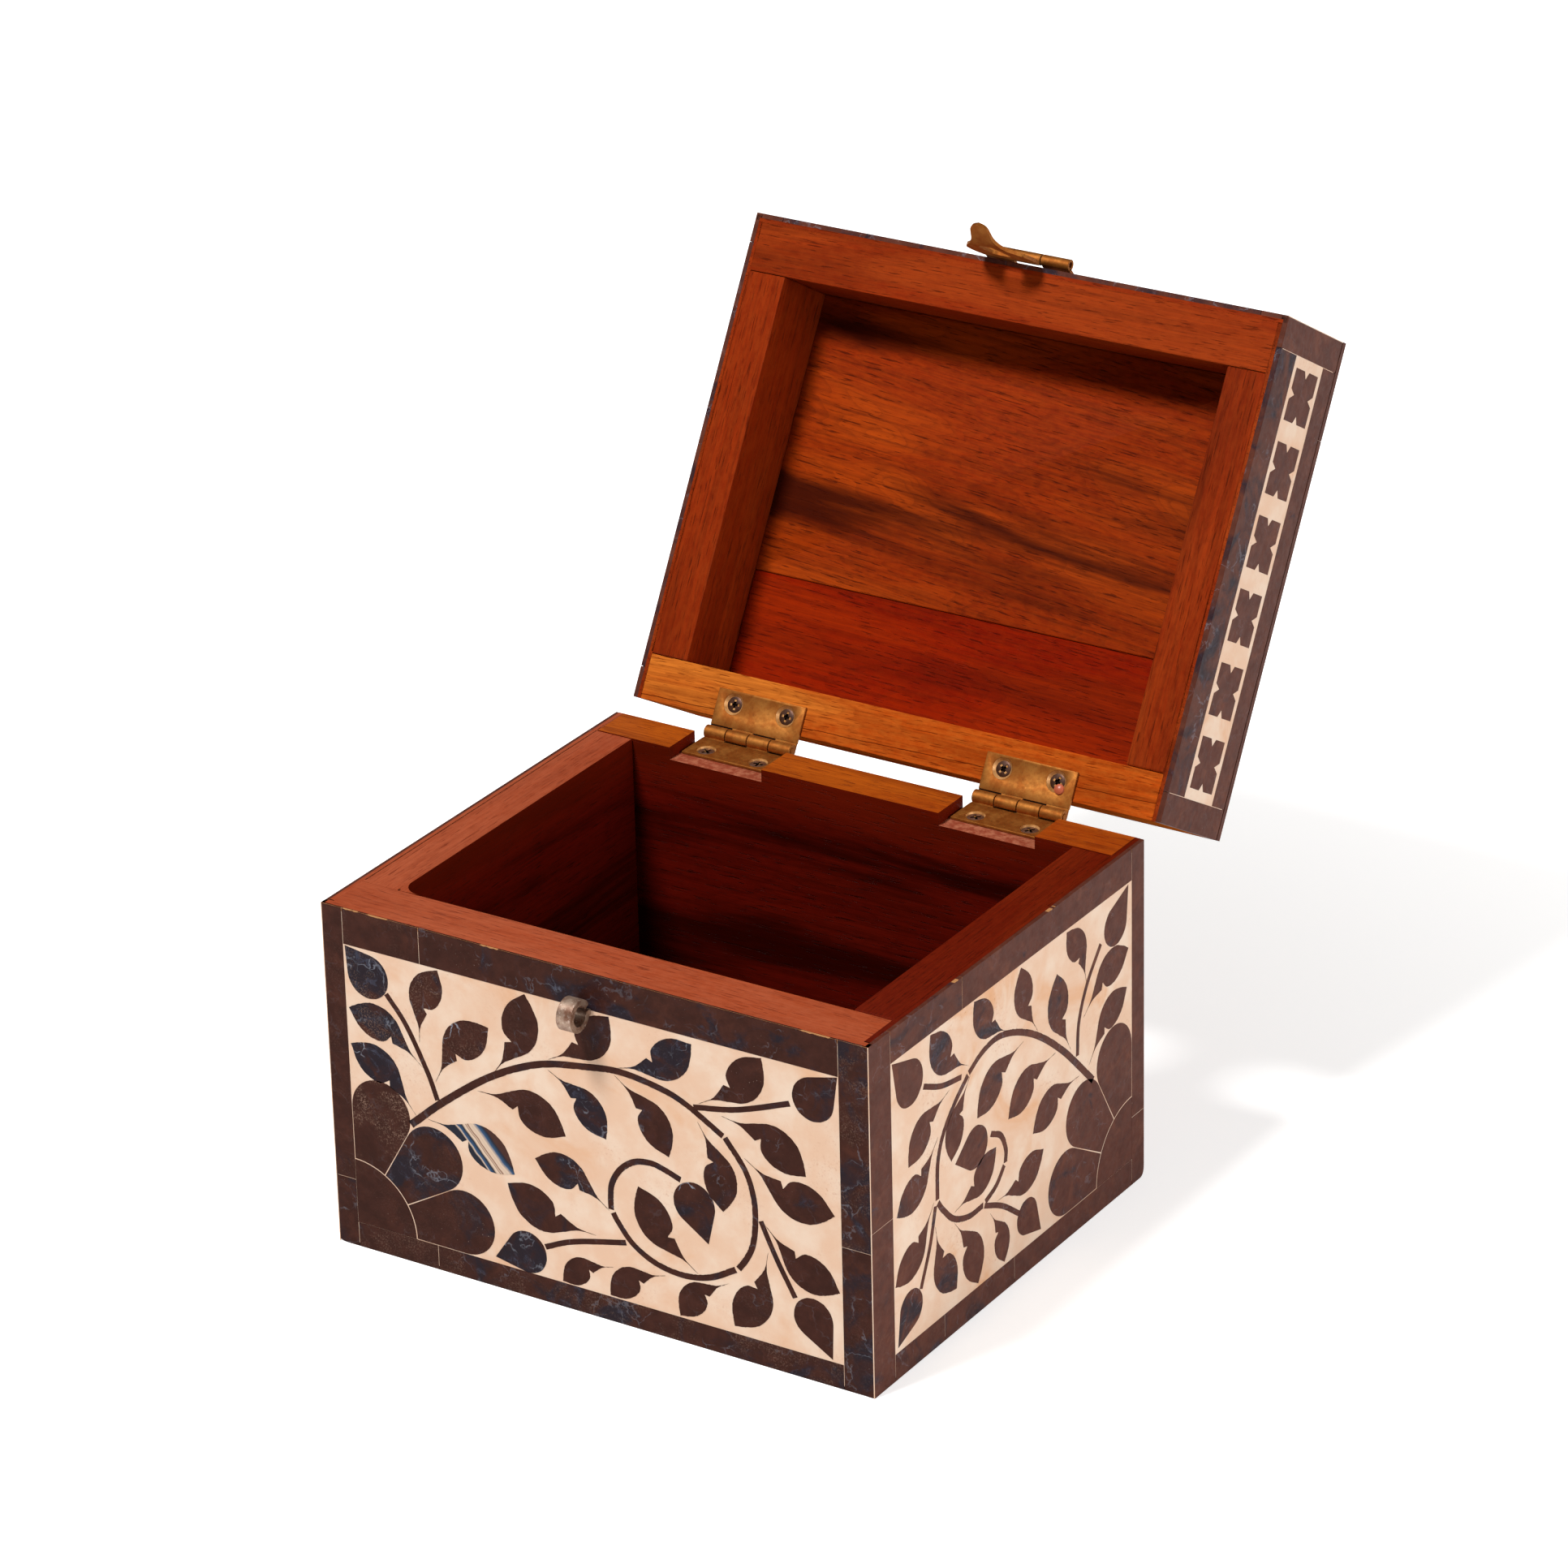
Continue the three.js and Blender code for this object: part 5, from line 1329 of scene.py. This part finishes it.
def hasp_rise(down):
    """How far the leaf's middle lies towards the lid from the pin, for each step down from the pin."""
    lower = HASP_PIVOT_STANDOFF - HASP_FACE_GAP - HASP_SHEET / 2
    root = HASP_BARREL - HASP_SHEET / 2
    lip = HASP_PIVOT.z - STAPLE_HEIGHT + HASP_SLOT_HALF_LENGTH
    if down < HASP_PIVOT_RISE:
        share = max(down, 0) / HASP_PIVOT_RISE
        return root + (lower - root) * share * share * (3 - 2 * share)
    if down < lip - HASP_LIP_LEAD:
        return lower
    share = (down - lip + HASP_LIP_LEAD) / (HASP_REACH - lip + HASP_LIP_LEAD)
    return lower - HASP_LIP_RISE * share ** HASP_LIP_BEND


def hasp_leaf(made):
    neck = (HASP_KNUCKLE - KNUCKLE_GAP) / 2
    right = [Vector((neck, 0)), Vector((neck, HASP_BARREL))]
    right += [Vector((out * HASP_HALF_WIDTH, down * HASP_REACH)) for down, out in HASP_OUTLINE_SHARES]
    smooth_right = spline(right, CURVE_STEPS)
    left = [Vector((-p.x, p.y)) for p in reversed(smooth_right[:-1])]
    slot = slot_outline(Vector((0, HASP_PIVOT.z - STAPLE_HEIGHT)))
    flat = plate_with_holes([*smooth_right, *left], [slot], 0, 0)
    sheet = bmesh.new()
    verts = [sheet.verts.new((x, -y, 0)) for x, y, _ in flat[0]]
    for face in flat[1]:
        sheet.faces.new([verts[i] for i in face])
    bmesh.ops.remove_doubles(sheet, verts=sheet.verts, dist=SHEET_WELD_GAP)
    for row in range(1, HASP_ROWS):
        geom = [*sheet.verts, *sheet.edges, *sheet.faces]
        level = (0, -HASP_REACH * row / HASP_ROWS, 0)
        bmesh.ops.bisect_plane(sheet, geom=geom, plane_co=level, plane_no=(0, 1, 0))
    place = LID_PLACE @ Matrix.Translation(HASP_PIVOT * MM)
    verts = [place @ (Vector((v.co.x, hasp_rise(-v.co.y), v.co.y)) * MM) * PER_MM for v in sheet.verts]
    sheet.verts.index_update()
    faces = [[v.index for v in face.verts] for face in sheet.faces]
    sheet.free()
    leaf = new_piece("hasp_sheet", verts, faces, HERE, "hasp", made["brass"], "brass", ["hasp_leaf"])
    thick = leaf.modifiers.new("thick", "SOLIDIFY")
    thick.thickness = HASP_SHEET * MM
    thick.offset = 0
    bake(leaf)
    smooth(rounded(leaf, METAL_ROUND))
    barrel = tube(HASP_BARREL, HASP_BORE, -neck, neck)
    smooth(rounded(new_piece("hasp_knuckle", *barrel, place, "hasp", made["brass"], "brass"), METAL_ROUND))


def slot_outline(centre):
    """The rounded slot that passes over the staple."""
    x, y = HASP_SLOT_HALF_WIDTH, HASP_SLOT_HALF_LENGTH
    radius = x * HASP_SLOT_ROUND_SHARE
    outline = []
    for quarter, (across, along) in enumerate([(1, 1), (-1, 1), (-1, -1), (1, -1)]):
        corner = centre + Vector((across * (x - radius), along * (y - radius)))
        outline += arc(corner, radius, quarter * QUARTER, (quarter + 1) * QUARTER, CURVE_STEPS)
    return outline


def tube(outer, inner, low, high):
    """An open tube along X."""
    rings = [(outer, low), (outer, high), (inner, high), (inner, low)]
    verts = []
    for radius, x in rings:
        verts += [(x, p.x, p.y) for p in circle(Vector((0, 0)), radius)]
    count = ROUND_SIDES
    faces = []
    for ring in range(4):
        a, b = ring * count, (ring + 1) % 4 * count
        faces += [[a + i, a + (i + 1) % count, b + (i + 1) % count, b + i] for i in range(count)]
    return verts, faces


def hasp_bracket(made):
    side = HASP_KNUCKLE * HASP_KNUCKLES / 2
    inner = (HASP_KNUCKLE + KNUCKLE_GAP) / 2
    foot = HASP_PIVOT_STANDOFF - GLUE_LINE - HASP_SHEET / 2
    root = HASP_BARREL - HASP_SHEET / 2
    bend = (root + (foot - root) / 2, BRACKET_FOOT / 2)
    lower = [Vector(p) for p in ((root, 0), bend, (foot, BRACKET_FOOT))]
    upper = [Vector((foot, z)) for z in (BRACKET_FOOT - GLUE_LINE, BRACKET_RISE / 2, BRACKET_RISE)]
    parts = [rod(strip_outline(upper, HASP_SHEET), -side, side)]
    for low, high in ((-side, -inner), (inner, side)):
        parts.append(rod(strip_outline(lower, HASP_SHEET), low, high))
        parts.append(tube(HASP_BARREL, HASP_BORE, low, high))
    place = LID_PLACE @ Matrix.Translation(HASP_PIVOT * MM)
    bracket = new_piece("hasp_plate", *merged(parts), place, "lid", made["brass"], "brass", ["hasp_bracket"])
    smooth(rounded(bracket, METAL_ROUND))
    pin_end = side - HASP_PIN_INSET
    pin = rod(circle(Vector((0, 0)), HASP_BORE * HASP_PIN_SHARE), -pin_end, pin_end)
    smooth(new_piece("hasp_rivet", *pin, place, "lid", made["brass"], "brass", ["hasp_pin"]))
    for name, x in (("left", -NAIL_SPREAD), ("right", NAIL_SPREAD)):
        spot = Matrix.Translation(Vector((x, foot - HASP_SHEET / 2, NAIL_RISE)) * MM)
        put = place @ spot @ Matrix.Rotation(QUARTER, 4, "X")
        head, stands_for = f"hasp_{name}_nail_head", [f"hasp_{name}_nail"]
        smooth(new_piece(head, *lathe(NAIL_DOME), put, "lid", made["brass"], "brass", stands_for))


# Stage
def stage_floor():
    corners = box_outline(-FLOOR_HALF, FLOOR_HALF, -FLOOR_HALF, FLOOR_HALF)
    floor = new_object("floor", new_mesh("floor", [p.to_3d() for p in corners], [[0, 1, 2, 3]]))
    floor.data.materials.append(floor_material())


def lamp(name, place, size, power):
    data = bpy.data.lights.new(name, "AREA")
    data.shape = "DISK"
    data.size = size * MM
    data.energy = power
    light = new_object(name, data)
    light.location = Vector(place) * MM
    aim = Vector(LAMP_AIM) - Vector(place)
    light.rotation_euler = aim.to_track_quat("-Z", "Y").to_euler()


def studio():
    world = bpy.data.worlds.new("studio")
    bpy.context.scene.world = world
    world.use_nodes = True
    tree = world.node_tree
    tree.nodes.clear()
    out = tree.nodes.new("ShaderNodeOutputWorld")
    mix = tree.nodes.new("ShaderNodeMixShader")
    path = tree.nodes.new("ShaderNodeLightPath")
    light = tree.nodes.new("ShaderNodeBackground")
    seen = tree.nodes.new("ShaderNodeBackground")
    light.inputs[0].default_value = WORLD_TINT
    light.inputs[1].default_value = WORLD_LIGHT
    seen.inputs[0].default_value = WHITE
    seen.inputs[1].default_value = 1.0
    tree.links.new(path.outputs["Is Camera Ray"], mix.inputs[0])
    tree.links.new(light.outputs[0], mix.inputs[1])
    tree.links.new(seen.outputs[0], mix.inputs[2])
    tree.links.new(mix.outputs[0], out.inputs[0])
    lamp("key", KEY_PLACE, KEY_SIZE, KEY_POWER)
    lamp("side", SIDE_PLACE, SIDE_SIZE, SIDE_POWER)


def camera():
    data = bpy.data.cameras.new("camera")
    data.sensor_width = CAMERA_SENSOR
    data.lens = CAMERA_LENS
    data.clip_end = CAMERA_REACH * MM
    eye = new_object("camera", data)
    turn = Matrix([CAMERA_RIGHT, CAMERA_UP, CAMERA_BACK]).transposed().to_4x4()
    eye.matrix_world = Matrix.Translation(Vector(CAMERA_PLACE) * MM) @ turn
    bpy.context.scene.camera = eye


def main():
    made = {
        "tile_front": tile_material("dark_tile", "dark"),
        # Painted light: the side and lid faces take the dark tiles drawn lighter for the light they catch.
        "tile_side": tile_material("dark_tile_painted_lit", "painted_lit_dark"),
        "cream_front": cream_material("cream_filler", 0.6),
        "cream_side": cream_material("cream_side_filler", 1.0),
        "agate": agate_material(),
    }
    for key, looks in METALS.items():
        made[key] = metal_material(*looks)
    camera()
    studio()
    stage_floor()
    dress_wood(made)
    rim_lips(made)
    corner_joints(made)
    base_faces(made)
    lid_faces(made)
    corner_filler("base", GLUE_LINE, BASE_HEIGHT - GLUE_LINE, HERE, "base", made)
    corner_filler("lid", LID_BOTTOM + GLUE_LINE, LID_WOOD_TOP, LID_PLACE, "lid", made)
    hinges(made)
    staple(made)
    hasp_leaf(made)
    hasp_bracket(made)


main()
bpy.context.scene.view_settings.view_transform = "Standard"
